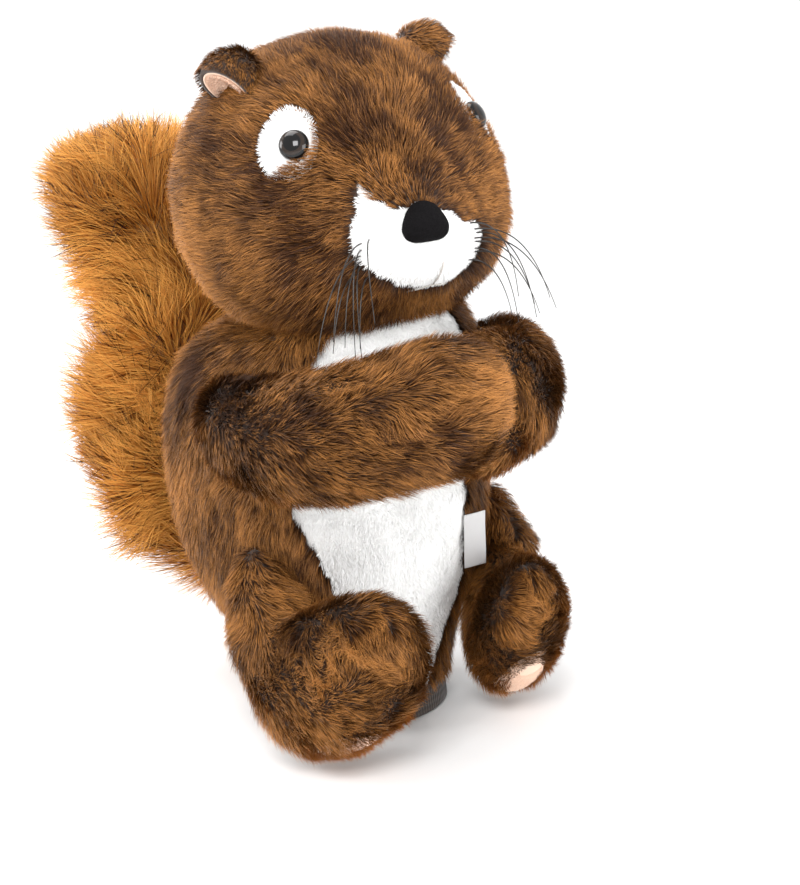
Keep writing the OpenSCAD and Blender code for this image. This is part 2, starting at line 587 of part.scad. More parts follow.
hem_binding();
pocket_lining();
neck_elastic();
body_stuffing();
belly_panel();
back_panel();
side_panel(-1);  // right_side_panel
side_panel(1);  // left_side_panel
side_label();
head_back_panel();
crown_panel();
forehead_panel();
cheek_panel(-1);  // right_cheek_panel
cheek_panel(1);  // left_cheek_panel
muzzle_panel();
chin_panel();
head_stuffing();
nose();
mouth_stitch();
eye_patch(-1);  // right_eye_patch
eye_patch(1);  // left_eye_patch
eye(-1);  // right_eye
eye(1);  // left_eye
eye_washer(-1);  // right_eye_washer
eye_washer(1);  // left_eye_washer
whiskers(-1);  // right_whiskers
whiskers(1);  // left_whiskers
ear(-1);  // right_ear
ear(1);  // left_ear
ear_lining(-1);  // right_ear_lining
ear_lining(1);  // left_ear_lining
arm_outer(-1);  // right_arm_outer
arm_outer(1);  // left_arm_outer
arm_inner(-1);  // right_arm_inner
arm_inner(1);  // left_arm_inner
arm_stuffing(-1);  // right_arm_stuffing
arm_stuffing(1);  // left_arm_stuffing
leg_outer(-1);  // right_leg_outer
leg_outer(1);  // left_leg_outer
leg_inner(-1);  // right_leg_inner
leg_inner(1);  // left_leg_inner
leg_stuffing(-1);  // right_leg_stuffing
leg_stuffing(1);  // left_leg_stuffing
sole(-1);  // right_sole
sole(1);  // left_sole
tail_front_panel();
tail_back_panel();
tail_stuffing();
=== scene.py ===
"""Plush squirrel head cover for a golf driver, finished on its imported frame.

Shapes are worked out in millimetres as numpy surfaces and go into meshes in metres."""

from typing import NamedTuple

import bmesh
import bpy
import numpy as np
from bpy.props import FloatProperty, FloatVectorProperty, IntProperty, PointerProperty
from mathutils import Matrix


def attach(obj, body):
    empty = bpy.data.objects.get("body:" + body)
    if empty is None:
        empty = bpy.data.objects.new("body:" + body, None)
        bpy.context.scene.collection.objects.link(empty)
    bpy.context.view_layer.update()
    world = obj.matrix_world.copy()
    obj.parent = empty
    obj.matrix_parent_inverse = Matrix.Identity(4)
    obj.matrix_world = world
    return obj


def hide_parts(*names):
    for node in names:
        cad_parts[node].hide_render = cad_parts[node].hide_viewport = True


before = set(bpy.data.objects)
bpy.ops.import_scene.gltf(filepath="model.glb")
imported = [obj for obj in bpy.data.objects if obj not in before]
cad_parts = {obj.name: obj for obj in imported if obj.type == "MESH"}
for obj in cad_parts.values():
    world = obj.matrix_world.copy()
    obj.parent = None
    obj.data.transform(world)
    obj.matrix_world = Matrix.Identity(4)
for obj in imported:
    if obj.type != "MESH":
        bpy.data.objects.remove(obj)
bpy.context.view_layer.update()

bl_info = {
    "name": "Plush Squirrel Driver Cover",
    "version": (1, 0, 0),
    "blender": (4, 5, 0),
    "location": "View3D > Sidebar > Squirrel Cover",
    "description": "Makes the cloth, pile, face and trim of a plush squirrel driver head cover",
    "category": "Object",
}

MM = 0.001
SIDES = {"right": -1, "left": 1}

# ---- sizes, in millimetres and degrees, as in the solid model ----

BODY_W, BODY_D, NECK_Z, BODY_BACK = 152.0, 172.0, 214.0, 8.0
MOUTH_R, HEM_H, POCKET_R, ELASTIC_Z, ELASTIC_W, CROWN_PAD = 36.0, 14.0, 60.0, 40.0, 10.0, 8.0
HEAD_W, HEAD_D, HEAD_H, HEAD_UP, HEAD_FORE = 152.0, 148.0, 143.0, 58.0, 35.0
MUZZLE_OUT, CHEEK_OUT = 17.0, 5.0
EYE_D, PATCH_H, PATCH_W, PATCH_T, NOSE_W = 14.0, 34.0, 27.0, 1.4, 22.0
EAR_D, EAR_CUP, EAR_E, EAR_DROOP, EAR_SINK, WHISKER_L = 30.0, 20.0, 45.0, 42.0, 0.4, 72.0
ARM_D, HAND_FORE, FOOT_W, TOE_FORE, TAIL_W, TAIL_H = 52.0, 146.0, 50.0, 122.0, 104.0, 300.0
SKIN_T, TAIL_SKIN, LINING_T, TAPE_T, SEAM_GAP, PAD_GAP = 2.0, 4.0, 1.2, 1.0, 0.3, 0.8
LABEL_W, LABEL_H, LABEL_TURN = 12.0, 30.0, 40.0
TAPE_R, TAPE_FLAT_W = 39.4, 34.0

LINING_R = MOUTH_R + TAPE_T + SEAM_GAP
SLEEVE_R = LINING_R + LINING_T + 1 + SKIN_T
HEM_R = SLEEVE_R + SEAM_GAP + TAPE_T
HEAD_C = np.array([0, -HEAD_FORE, NECK_Z + HEAD_UP])
NECK_E = -np.degrees(np.arcsin((HEAD_UP - SEAM_GAP) / (HEAD_H / 2)))
POCKET_TOP = NECK_Z - CROWN_PAD
FACE_A, EAR_SEAM_A, MUZZLE_LOW, MUZZLE_HIGH, CROWN_E = 30.0, 96.0, -42.0, 0.0, 62.0
EYE_A, EYE_E, NOSE_A, NOSE_E = 43.0, 23.0, -4.0, -9.0
PATCH_A, PATCH_E = EYE_A + 2.5, EYE_E + 1.0


# ---- numbers over whole arrays ----

def unit(v):
    """Vectors divided by their lengths."""
    return v / np.maximum(np.linalg.norm(v, axis=-1, keepdims=True), 1e-9)


def mix(a, b, f):
    """a where f is 0 and b where it is 1."""
    return a + (b - a) * f


def ramp(x, start, run):
    """0 up to the start, 1 from start + run on, and straight between them."""
    return np.clip((x - start) / run, 0, 1)


def bell(x, middle, width):
    """A Gaussian of height 1."""
    return np.exp(-((x - middle) / width) ** 2)


def signed(a):
    """Angles of 0 to 360 degrees as -180 to 180."""
    return np.where(a > 180, a - 360, a)


def spline(rows, t):
    """The Catmull-Rom curve through the rows at t, which runs from 0 to their last index."""
    rows = np.asarray(rows, float)
    last = len(rows) - 1
    i = np.clip(np.floor(t).astype(int), 0, last - 1)
    f = (t - i)[..., None]
    a, b = rows[np.maximum(i - 1, 0)], rows[i]
    c, d = rows[i + 1], rows[np.minimum(i + 2, last)]
    return 0.5 * (2 * b + (c - a) * f + (2 * a - 5 * b + 4 * c - d) * f**2
                  + (3 * b - a - 3 * c + d) * f**3)


def ripple(p, size, seed):
    """Smooth noise of about -1 to 1: the scaled mean of ten sine waves in seeded directions, with
    wavelengths near the given size."""
    rng = np.random.default_rng(seed)
    way = unit(rng.normal(size=(10, 3))) * rng.uniform(0.6, 1.7, (10, 1)) * 2 * np.pi / size
    return np.sin(p @ way.T + rng.uniform(0, 2 * np.pi, 10)).mean(-1) * 2.4


HASH_MATRIX = np.array([[127.1, 269.5, 419.2], [311.7, 183.3, 371.9], [74.7, 246.1, 124.6]])
HASH_SCALE = 43758.5453


def tuft_middles(p, size, seed):
    """The middle of each point's tuft: one jittered point in each cube of a lattice, with the
    jitter taken from the fractional part of a large sine of the cube's number."""
    cell = np.floor(p / size)
    jitter = np.modf(np.abs(np.sin(cell @ HASH_MATRIX + seed)) * HASH_SCALE)[0]
    return (cell + 0.2 + 0.6 * jitter) * size


def inside(x, y, outline):
    """True where (x, y) lies in the closed outline, by counting the edges crossed on one side."""
    x0, y0 = np.asarray(outline, float).T
    x1, y1 = np.roll(x0, -1), np.roll(y0, -1)
    x, y = np.asarray(x)[..., None], np.asarray(y)[..., None]
    span = (y0 > y) != (y1 > y)
    cross = x0 + (y - y0) * (x1 - x0) / np.where(y1 == y0, 1e-9, y1 - y0)
    return (np.sum(span & (x < cross), axis=-1) % 2).astype(bool)


def rotation(axis, angle):
    """The matrix that turns by an angle, in radians, about axis 0, 1 or 2."""
    i, j = (axis + 1) % 3, (axis + 2) % 3
    matrix = np.eye(3)
    matrix[i, i] = matrix[j, j] = np.cos(angle)
    matrix[i, j], matrix[j, i] = -np.sin(angle), np.sin(angle)
    return matrix


def turned_to(v):
    """The rotation that turns +Z to v, first about Y and then about Z."""
    return rotation(2, np.arctan2(v[1], v[0])) @ rotation(1, np.arccos(v[2]))


def mirror(side):
    """The factors that turn a left shape to a side."""
    return np.array([side, 1, 1])


# ---- meshes ----

def mesh_piece(name, points, faces, uv=None, smooth=True, closed=False, white=None):
    """A mesh of the points, in millimetres, and faces of equal corner count. A closed one whose
    signed volume is negative has its faces turned round, and its doubled points are welded. uv is
    one pair for each point, and white one number."""
    points = np.ascontiguousarray(points, np.float32).reshape(-1, 3) * MM
    faces = np.asarray(faces, np.int32)
    if closed:
        a, b, c = (points[faces[:, k]].astype(float) for k in (0, 1, 2))
        volume = np.einsum("ij,ij->", a, np.cross(b, c))
        if faces.shape[1] == 4:
            d = points[faces[:, 3]].astype(float)
            volume += np.einsum("ij,ij->", a, np.cross(c, d))
        if volume < 0:
            faces = faces[:, ::-1]
    mesh = bpy.data.meshes.new(name)
    mesh.vertices.add(len(points))
    mesh.vertices.foreach_set("co", points.ravel())
    mesh.loops.add(faces.size)
    mesh.loops.foreach_set("vertex_index", np.ascontiguousarray(faces).ravel())
    mesh.polygons.add(len(faces))
    starts = np.arange(0, faces.size, faces.shape[1], dtype=np.int32)
    mesh.polygons.foreach_set("loop_start", starts)
    mesh.polygons.foreach_set("use_smooth", np.full(len(faces), smooth))
    if uv is not None:
        layer = mesh.uv_layers.new(name="OFBake")
        corners = np.asarray(uv, np.float32).reshape(-1, 2)[faces.ravel()]
        layer.data.foreach_set("uv", corners.ravel())
    if white is not None:
        layer = mesh.attributes.new("white", "FLOAT", "POINT")
        layer.data.foreach_set("value", np.asarray(white, np.float32).ravel())
    mesh.update(calc_edges=True)
    if closed:
        solid = bmesh.new()
        solid.from_mesh(mesh)
        bmesh.ops.remove_doubles(solid, verts=solid.verts, dist=1e-6)
        solid.to_mesh(mesh)
        solid.free()
    obj = bpy.data.objects.new(name, mesh)
    bpy.context.scene.collection.objects.link(obj)
    return obj


def grid_faces(m, n, first=0, wrap=False):
    """The quads of an m by n grid of points; wrap joins its last column to its first."""
    i, j = np.meshgrid(np.arange(m - 1), np.arange(n if wrap else n - 1), indexing="ij")
    k = (j + 1) % n
    quads = np.stack([i * n + j, i * n + k, (i + 1) * n + k, (i + 1) * n + j], -1)
    return (first + quads).reshape(-1, 4)


def map_line(n):
    """n even steps across the map."""
    return np.linspace(0.01, 0.99, n)


def near(a, b):
    """True where two rows of points are one row."""
    return np.allclose(a, b, atol=1e-5)


def shell(name, outer, inner, uv=None, white=None):
    """A closed piece of cloth between two grids of points: both faces, and the edges that don't
    meet the opposite edge."""
    m, n = outer.shape[:2]
    q = m * n
    cols, rows = np.arange(n - 1), np.arange(m - 1) * n
    parts = [grid_faces(m, n), grid_faces(m, n, q)[:, ::-1]]
    if not near(outer[0], outer[-1]):
        end = cols + (m - 1) * n
        parts += [np.stack([cols, cols + q, cols + 1 + q, cols + 1], -1),
                  np.stack([end, end + 1, end + 1 + q, end + q], -1)]
    if not near(outer[:, 0], outer[:, -1]):
        end = rows + n - 1
        parts += [np.stack([rows, rows + n, rows + n + q, rows + q], -1),
                  np.stack([end, end + q, end + n + q, end + n], -1)]
    both = np.concatenate([outer.reshape(-1, 3), inner.reshape(-1, 3)])
    uv, white = (x if x is None else np.concatenate([x.reshape(q, -1)] * 2) for x in (uv, white))
    return mesh_piece(name, both, np.concatenate(parts), uv=uv, white=white, closed=True)


def loft(name, rings):
    """A closed skin over equal rings; each end shrinks to its middle."""
    first, last = rings[0].mean(0), rings[-1].mean(0)
    rings = np.concatenate([[mix(first, rings[0], 0), mix(first, rings[0], 0.5)], rings,
                            [mix(last, rings[-1], 0.5), mix(last, rings[-1], 0)]])
    m, n = rings.shape[:2]
    return mesh_piece(name, rings, grid_faces(m, n, wrap=True), closed=True)


def tube(path, radius, sides):
    """Rings of points square to a path, of the given radius at each of its points."""
    along = unit(np.gradient(path, axis=0))
    across = unit(np.cross(along, [0.13, 0.21, 0.97]))
    up = np.cross(along, across)
    t = np.linspace(0, 2 * np.pi, sides, endpoint=False)[None, :, None]
    spokes = across[:, None] * np.cos(t) + up[:, None] * np.sin(t)
    return path[:, None] + radius[:, None, None] * spokes


def bundle(name, tubes, start_cap, end_cap):
    """Tubes of equal ring counts as one closed piece, with the caps' faces on each."""
    steps, sides = tubes[0].shape[:2]
    faces = []
    for k in range(len(tubes)):
        first = k * steps * sides
        faces += [grid_faces(steps, sides, first, wrap=True), first + np.array(start_cap),
                  first + (steps - 1) * sides + np.array(end_cap)]
    return mesh_piece(name, np.concatenate(tubes), np.concatenate(faces), closed=True)


class Patch:
    """A grid of skin: outer points, inner points, outward normals, distance to its edge, and the
    grid's own two coordinates. One whose opposite sides meet is a disc with one rim."""

    def __init__(self, surface, us, vs, thick=SKIN_T):
        self.u, self.v = np.meshgrid(us, vs, indexing="ij")
        self.outer = surface(self.u, self.v, 0.0)
        self.inner = surface(self.u, self.v, thick)
        self.along, dv = np.gradient(self.outer, axis=0), np.gradient(self.outer, axis=1)
        self.normal = unit(np.cross(self.along, dv))
        if np.einsum("ijk,ijk->", self.normal, self.outer - self.inner) < 0:
            self.normal = -self.normal
        step0 = np.linalg.norm(np.diff(self.outer, axis=0), axis=-1)
        step1 = np.linalg.norm(np.diff(self.outer, axis=1), axis=-1)
        run0 = np.concatenate([np.zeros((1, step0.shape[1])), np.cumsum(step0, 0)])
        run1 = np.concatenate([np.zeros((step1.shape[0], 1)), np.cumsum(step1, 1)], 1)
        self.length, self.width = run0[-1].max(), run1[:, -1].max()
        self.edge = np.minimum(np.minimum(run0, run0[-1] - run0),
                               np.minimum(run1, run1[:, -1:] - run1))
        rim = None
        if near(self.outer[0], self.outer[-1]):
            rim, self.edge = self.outer[:, 0], run1
        elif near(self.outer[:, 0], self.outer[:, -1]):
            rim, self.edge = self.outer[-1], run0[-1] - run0
        if rim is not None:
            k = len(rim) // 4
            self.length, self.width = (np.linalg.norm(rim[i] - rim[i + 2 * k]) for i in (0, k))
        low, high = np.s_[:-1], np.s_[1:]
        a, b, c, d = (self.outer[place] for place in ((low, low), (high, low), (high, high),
                                                      (low, high)))
        self.cells = 0.5 * (np.linalg.norm(np.cross(b - a, d - a), axis=-1)
                            + np.linalg.norm(np.cross(b - c, d - c), axis=-1))
        self.area = self.cells.sum()

    def scatter(self, count, rng):
        """Random places, even over the area: a cell picked by its size, then a place in it. Gives
        the points, normals, directions along the first coordinate, and both coordinates."""
        odds = self.cells.ravel() / self.area
        pick = rng.choice(odds.size, count, p=odds)
        i, j = np.unravel_index(pick, self.cells.shape)
        s, t = rng.random((2, count))

        def at(grid):
            f, g = (s, t) if grid.ndim == 2 else (s[:, None], t[:, None])
            return mix(mix(grid[i, j], grid[i + 1, j], f),
                       mix(grid[i, j + 1], grid[i + 1, j + 1], f), g)
        return at(self.outer), unit(at(self.normal)), unit(at(self.along)), at(self.u), at(self.v)


# ---- the squirrel's surfaces ----

def spot(surface, a, b, depth=0.0):
    """One point of a surface."""
    return surface(np.float64(a), np.float64(b), depth)


def outward(surface, a, b, step):
    """The outward direction of a surface at one place, from points a step to each side."""
    return unit(np.cross(spot(surface, a + step, b) - spot(surface, a - step, b),
                         spot(surface, a, b + step) - spot(surface, a, b - step)))


NECK_SHARE = np.cos(np.radians(NECK_E))
TRUNK_SHARES = [  # height, half width, half depth, centre's y in body backs
    [0.20, 0.65, 0.61, 0.45], [0.33, 0.85, 0.82, 1], [0.47, 0.96, 0.95, 1.3], [0.61, 1, 1, 1.2],
    [0.79, 0.985, 0.96, 0.4]]
TRUNK_ROWS = [
    [TAPE_T + SEAM_GAP, SLEEVE_R, SLEEVE_R, 0], [HEM_H + 2, SLEEVE_R, SLEEVE_R, 0],
    *([z * NECK_Z, w * BODY_W / 2, d * BODY_D / 2, y * BODY_BACK] for z, w, d, y in TRUNK_SHARES),
    [0.91 * NECK_Z, 0.90 * BODY_W / 2, 0.86 * BODY_D / 2, -0.2 * HEAD_FORE],
    [0.975 * NECK_Z, 0.74 * BODY_W / 2, 0.66 * BODY_D / 2, -0.62 * HEAD_FORE],
    [NECK_Z, NECK_SHARE * HEAD_W / 2, NECK_SHARE * HEAD_D / 2, -HEAD_FORE]]
TRUNK = spline(TRUNK_ROWS, np.linspace(0, 9, 19))
BELLY_Z = np.array([0, 0.20, 0.33, 0.47, 0.61, 0.79, 0.93, 1]) * NECK_Z
BELLY_HALF = np.array([5, 7, 22, 37, 43, 40, 34, 30.0])
BELLY_TURN = -7.0
BACK_A = 118.0
POCKET_ROWS = [  # height, radius
    (ELASTIC_Z - ELASTIC_W / 2, MOUTH_R), (ELASTIC_Z + ELASTIC_W / 2, MOUTH_R),
    (0.30 * POCKET_TOP, MOUTH_R + 6),
    *((z * POCKET_TOP, r * POCKET_R) for z, r in (
        (0.39, 0.85), (0.48, 0.95), (0.62, 1), (0.78, 1), (0.89, 0.85), (0.95, 0.65),
        (0.98, 0.4)))]


def belly_half(z):
    """Half the belly panel's angle at a height."""
    return np.interp(z, BELLY_Z, BELLY_HALF)


def trunk(a, z, depth=0.0):
    """The body's skin: an ellipse at each height, with half sizes and centre from the rows; a is
    the angle from the front towards the left, and depth is how far below the skin."""
    rx, ry, cy = (np.interp(z, TRUNK[:, 0], TRUNK[:, k]) for k in (1, 2, 3))
    t = np.radians(a)
    return np.stack([(rx - depth) * np.sin(t), cy - (ry - depth) * np.cos(t), z + 0 * t], -1)


def head_swell(a, e):
    """How far the muzzle and both cheeks stand out: a sum of Gaussian bumps in the two angles."""
    def bump(a0, e0, sa, se):
        return np.exp(-((a - a0) / sa) ** 2 - ((e - e0) / se) ** 2)
    cheeks = bump(52, -24, 26, 24) + bump(-52, -24, 26, 24)
    return MUZZLE_OUT * bump(0, -19, 21, 17) + CHEEK_OUT * cheeks


def head(a, e, depth=0.0):
    """The head's skin: an ellipsoid in angle a from the front and angle e above level, scaled by
    the muzzle's and cheeks' swell."""
    k = 1 + 2 * head_swell(signed(a), e) / HEAD_D
    ta, te = np.radians(a), np.radians(e)
    return HEAD_C + k[..., None] * np.stack([
        (HEAD_W / 2 - depth) * np.cos(te) * np.sin(ta),
        -(HEAD_D / 2 - depth) * np.cos(te) * np.cos(ta), (HEAD_H / 2 - depth) * np.sin(te)], -1)


def path_stations(rows, u):
    """Centre and two half axes along a curve of rows [x, y, z, half width, half height]: the
    section is square to the curve and stands upright."""
    r = spline(rows, u)
    q = spline(rows, np.minimum(u + 0.05, len(rows) - 1)) - spline(rows, np.maximum(u - 0.05, 0))
    t = unit(q[..., :3])
    up = unit(np.array([0, 0, 1.0]) - t[..., 2:3] * t)
    return r[..., :3], np.cross(up, t) * r[..., 3:4], up * r[..., 4:5]


def rail_stations(rows, u):
    """Centre and half axes between two rails, rows [x, y, z of one rail, y, z of the other, half
    width]."""
    r = spline(rows, u)
    a, b = r[..., :3], r[..., [0, 3, 4]]
    half = np.zeros_like(a)
    half[..., 0] = r[..., 5]
    return (a + b) / 2, half, (a - b) / 2


def limb(rows, stations, side=1):
    """The surface function of a limb: an ellipse with the station's half axes, each shortened by
    the depth, at angle t round it."""
    def surface(u, t, depth=0.0):
        centre, p, q = stations(rows, u)
        t = np.radians(t)[..., None]
        lp, lq = (np.maximum(np.linalg.norm(x, axis=-1, keepdims=True), 1e-6) for x in (p, q))
        out = (centre + p * np.maximum(1 - depth / lp, 0.2) * np.cos(t)
               + q * np.maximum(1 - depth / lq, 0.2) * np.sin(t))
        return out * mirror(side)
    return surface


def seat(a, z, out):
    """A point off the body's skin, where a limb is sewn on."""
    return spot(trunk, a, z) + out * outward(trunk, a, z, 2)


SHOULDER_Z, HIP_Z, TAIL_Z = 0.845 * NECK_Z, 0.475 * NECK_Z, 0.27 * NECK_Z
SHOULDER = seat(62, SHOULDER_Z, 8.4)
HIP = seat(60, HIP_Z, 6 + 4 * SEAM_GAP)
TAIL_ROOT = seat(180, TAIL_Z, 7 + 11 * SEAM_GAP)
RIGHT_ARM = [[-0.05, -0.5, 2, 0.10, 0.12], [0, -0.5, 0, 0.41, 0.46], [0.12, 17, -4, 0.62, 0.72],
             [0.28, 28, -8, 0.80, 0.88], [0.57, 41.5, -9, 0.96, 1.02], [0.81, 37, -5, 0.93, 1.06],
             [0.93, 23, 0, 0.92, 1.10], [0.975, 10, 2, 0.72, 0.92], [0.993, 2, 2, 0.34, 0.46],
             [1, -1, 2, 0.04, 0.05]]
LEFT_ARM = [[-0.07, 0, 2, 0.10, 0.12], [0, 0.4, 0, 0.33, 0.46], [0.357, 23.5, -6, 0.62, 0.82],
            [0.686, 33.4, -12, 0.80, 1.04], [0.907, 23.5, -13, 0.85, 1.15],
            [0.971, 12.8, -13, 0.73, 1.05], [0.992, 3, -13, 0.38, 0.6],
            [1, -1, -13, 0.04, 0.05]]


def arm_rows(side):
    """The arm's rows: a share of the straight line from shoulder to finger tips, moved out and
    up."""
    tip = (-6, -HAND_FORE) if side < 0 else (-3, -(0.52 * BODY_D + 0.72 * ARM_D / 2))
    q = np.array(RIGHT_ARM if side < 0 else LEFT_ARM)
    return np.stack([mix(SHOULDER[0], tip[0], q[:, 0]) + q[:, 1],
                     mix(SHOULDER[1], tip[1], q[:, 0]),
                     SHOULDER_Z + q[:, 2], q[:, 3] * ARM_D / 2, q[:, 4] * ARM_D / 2], -1)


def leg_rows(side):
    """The leg's rows between its front and back rails; the left foot lies further back and in and
    is slimmer, and the right instep is higher."""
    foot, y, z = FOOT_W / 2, HIP[1], HIP_Z
    inward, back, lift, slim, thigh = (5, 15, 0, 0.84, 0.7) if side > 0 else (0, 0, 10, 1.0, 1.0)
    x, toe = HIP[0] - 14 - inward, -TOE_FORE + back
    rows = np.array([
        [HIP[0], y - 1, z + 7, y + 1, z + 7, 1],
        [HIP[0], y - 7, z + 1, y + 7, z + 1, 6],
        [HIP[0] + 2, y - 16, z - 8, y + 9, z - 14, 0.50 * foot],
        [HIP[0] + 2.5, y - 25, z - 19, y + 4, z - 36, 0.70 * foot],
        [x + 12, y - 33, z - 27 + 0.5 * lift, y - 3, z - 64, 0.90 * foot],
        [x + 7, mix(y, toe, 0.56), 75 + lift, mix(y, toe, 0.20), 12, 1.02 * foot],
        [x + 1, mix(y, toe, 0.74), 81 + lift, mix(y, toe, 0.56), 14, 1.02 * foot],
        [x - 4, mix(y, toe, 0.90), 82 + 0.8 * lift, mix(y, toe, 0.86), 34, 0.84 * foot],
        [x - 7, toe + 0.5, 71 + 0.5 * lift, toe + 0.5, 53, 0.4 * foot],
        [x - 7, toe - 1, 63, toe - 1, 61, 1]])
    f = np.where(rows[:, 5] > 6, slim, 1.0)
    f[2:5] = thigh
    rows[:, 0] -= (1 - f) * rows[:, 5]
    rows[:, 5] *= f
    return rows


def tail_rows():
    """The tail's rows between its back and front rails: a root, two lobes and the waist between."""
    lobe, x, y, z = TAIL_W / 2, -24, BODY_D / 2 + 1.2 * BODY_BACK + 3.4, TAIL_Z
    root, top = TAIL_ROOT[1], TAIL_H
    return np.array([
        [0, root + 2, z - 7, root - 2, z - 6, 1],
        [0, root + 7, z - 3, root - 7, z + 1, 0.24 * lobe],
        [0.35 * x, y + 14, z + 4, y - 10, z + 22, 0.62 * lobe],
        [0.7 * x, y + 42, z + 32, y, z + 44, 0.88 * lobe],
        [0.9 * x, y + 54, z + 68, y + 2, z + 72, lobe],
        [x, y + 52, z + 108, y, z + 106, 0.96 * lobe],
        [x, y + 38, z + 145, y - 2, z + 138, 0.68 * lobe],
        [x, y + 42, z + 172, y + 4, z + 170, 0.66 * lobe],
        [1.1 * x, y + 60, mix(z + 172, top, 0.42), y + 10, mix(z + 170, top, 0.5), 0.84 * lobe],
        [1.2 * x, y + 66, mix(z + 172, top, 0.76), y + 24, top - 9, 0.74 * lobe],
        [1.25 * x, y + 62, top - 5, y + 42, top - 1, 0.42 * lobe],
        [1.25 * x, y + 54, top, y + 52, top, 1]])


# ---- the white markings ----

MUZZLE_OUTLINE = [(-22, 7), (-23.8, 0.5), (-25.5, -6.5), (-27.2, -15), (-22.5, -22), (-16, -26.3),
                  (-11, -28), (-3.6, -30), (4, -31.5), (14, -31.5), (24, -30), (27.5, -24),
                  (25, -17), (18, -12.5), (10, -9.5), (4, -6), (-4, -3), (-10.6, -3.4),
                  (-17.5, 0.5)]
CHEST_Z = [0, 25, 43, 60, 80, 105, 125, 150, 170, 195, 214]
CHEST_RIGHT = [-18, -22, -26, -31, -34, -40, -46, -47, -45, -40, -35]
CHEST_LEFT = [15, 26, 36, 36, 30, 26, 26, 30, 35, 39, 36]


def head_white(a, e, p):
    """True on the white muzzle: inside its outline, whose edge wavers by about a degree."""
    return inside(signed(a) + 0.8 * ripple(p, 9, 3), e + 0.8 * ripple(p, 9, 4), MUZZLE_OUTLINE)


def trunk_white(a, z, p):
    """True on the white belly and chest: between its two side edges, which waver by a degree."""
    turn = signed(a) + 1.2 * ripple(p, 10, 5)
    return ((turn > np.interp(z, CHEST_Z, CHEST_RIGHT))
            & (turn < np.interp(z, CHEST_Z, CHEST_LEFT)))


# ---- the node tools ----

class Wire:
    """An output socket in a material's tree. Arithmetic on it adds Math nodes."""

    def __init__(self, tree, socket):
        self.tree, self.socket = tree, socket

    def math(self, operation, a, b=None):
        """A Math node on one or two values."""
        node = self.tree.nodes.new("ShaderNodeMath")
        node.operation = operation
        for place, value in zip(node.inputs, (a, b)):
            plug(self.tree, place, value)
        return Wire(self.tree, node.outputs[0])

    def __add__(self, other):
        return self.math("ADD", self, other)

    def __radd__(self, other):
        return self.math("ADD", other, self)

    def __sub__(self, other):
        return self.math("SUBTRACT", self, other)

    def __mul__(self, other):
        return self.math("MULTIPLY", self, other)

    def __rmul__(self, other):
        return self.math("MULTIPLY", other, self)

    def __pow__(self, other):
        return self.math("POWER", self, other)

    def above(self, level):
        """1 where the value is greater than level, else 0."""
        return self.math("GREATER_THAN", self, level)

    def sine(self):
        """The sine of the value."""
        return self.math("SINE", self)


def plug(tree, place, value):
    """Links a wire to a socket, or sets the socket's own value."""
    if isinstance(value, Wire):
        tree.links.new(value.socket, place)
    elif value is not None:
        colour = isinstance(value, tuple) and len(place.default_value) == 4
        place.default_value = (*value, 1) if colour else value


class Finish:
    """A material: its name, its shader's fixed values, and calls that add nodes to it."""

    def __init__(self, name, **fixed):
        self.material = bpy.data.materials.new(name)
        self.material.use_nodes = True
        self.tree = self.material.node_tree
        self.shader = self.tree.nodes["Principled BSDF"]
        for key, value in fixed.items():
            self.set(key.replace("_", " "), value)

    def set(self, name, value):
        """Sets or links one of the shader's sockets."""
        plug(self.tree, self.shader.inputs[name], value)

    def node(self, kind, settings=None, out=0, **values):
        """Adds a node of a kind, with its settings first and then its sockets, and gives an
        output. A socket is called by name, or by i and its number."""
        node = self.tree.nodes.new("ShaderNode" + kind)
        for key, value in (settings or {}).items():
            setattr(node, key, value)
        for key, value in values.items():
            numbered = key[0] == "i" and key[1:].isdigit()
            plug(self.tree, node.inputs[int(key[1:]) if numbered else key], value)
        return Wire(self.tree, node.outputs[out])

    def noise(self, scale, detail=3.0, rough=0.6):
        """Noise from 0 to 1 in the piece's own coordinates, in metres."""
        place = self.node("TexCoord", out="Object")
        return self.node("TexNoise", Vector=place, Scale=scale, Detail=detail, Roughness=rough,
                         out="Fac")

    def colour(self, amount, dark, light):
        """A mix of two colours."""
        return self.node("Mix", {"data_type": "RGBA"}, i0=amount, i6=dark, i7=light, out=2)

    def base(self, amount, dark, light):
        """A mix of two colours, as the shader's own."""
        self.set("Base Color", self.colour(amount, dark, light))

    def bump(self, height, strength, distance):
        """Bump from a height, on the shader's normal."""
        self.set("Normal", self.node("Bump", Height=height, Strength=strength, Distance=distance))

    def sides(self):
        """The two coordinates of the piece's own map."""
        split = self.tree.nodes.new("ShaderNodeSeparateXYZ")
        plug(self.tree, split.inputs[0], self.node("UVMap", {"uv_map": "OFBake"}))
        return Wire(self.tree, split.outputs[0]), Wire(self.tree, split.outputs[1])

    def on(self, piece):
        """Gives a piece this material."""
        piece.data.materials.clear()
        piece.data.materials.append(self.material)


# ---- finishes ----

WHITE_FROM = 0.8
WHITE_SHADES = (0.84, 0.97)
GUARD_BELOW = 0.12


def plush_finish(c):
    """Brown and white pile: the map's first side is a strand's shade, from dark brown to tan, and
    white above a step; its second side runs from root to tip, where the strand lightens."""
    f = Finish("plush_pile", Roughness=0.45, Specular_IOR_Level=0.16)
    u, v = f.sides()
    tip = v ** 1.5
    dark = f.colour(tip, tuple(c.brown_root), tuple(c.brown_dark))
    light = f.colour(tip, tuple(c.brown_dark), tuple(c.brown_tip))
    brown = f.colour(u * (1 / WHITE_FROM), dark, light)
    white = f.colour(v ** 0.6, tuple(c.white_root), tuple(c.white_tip))
    f.base(u.above(WHITE_FROM), brown, white)
    return f


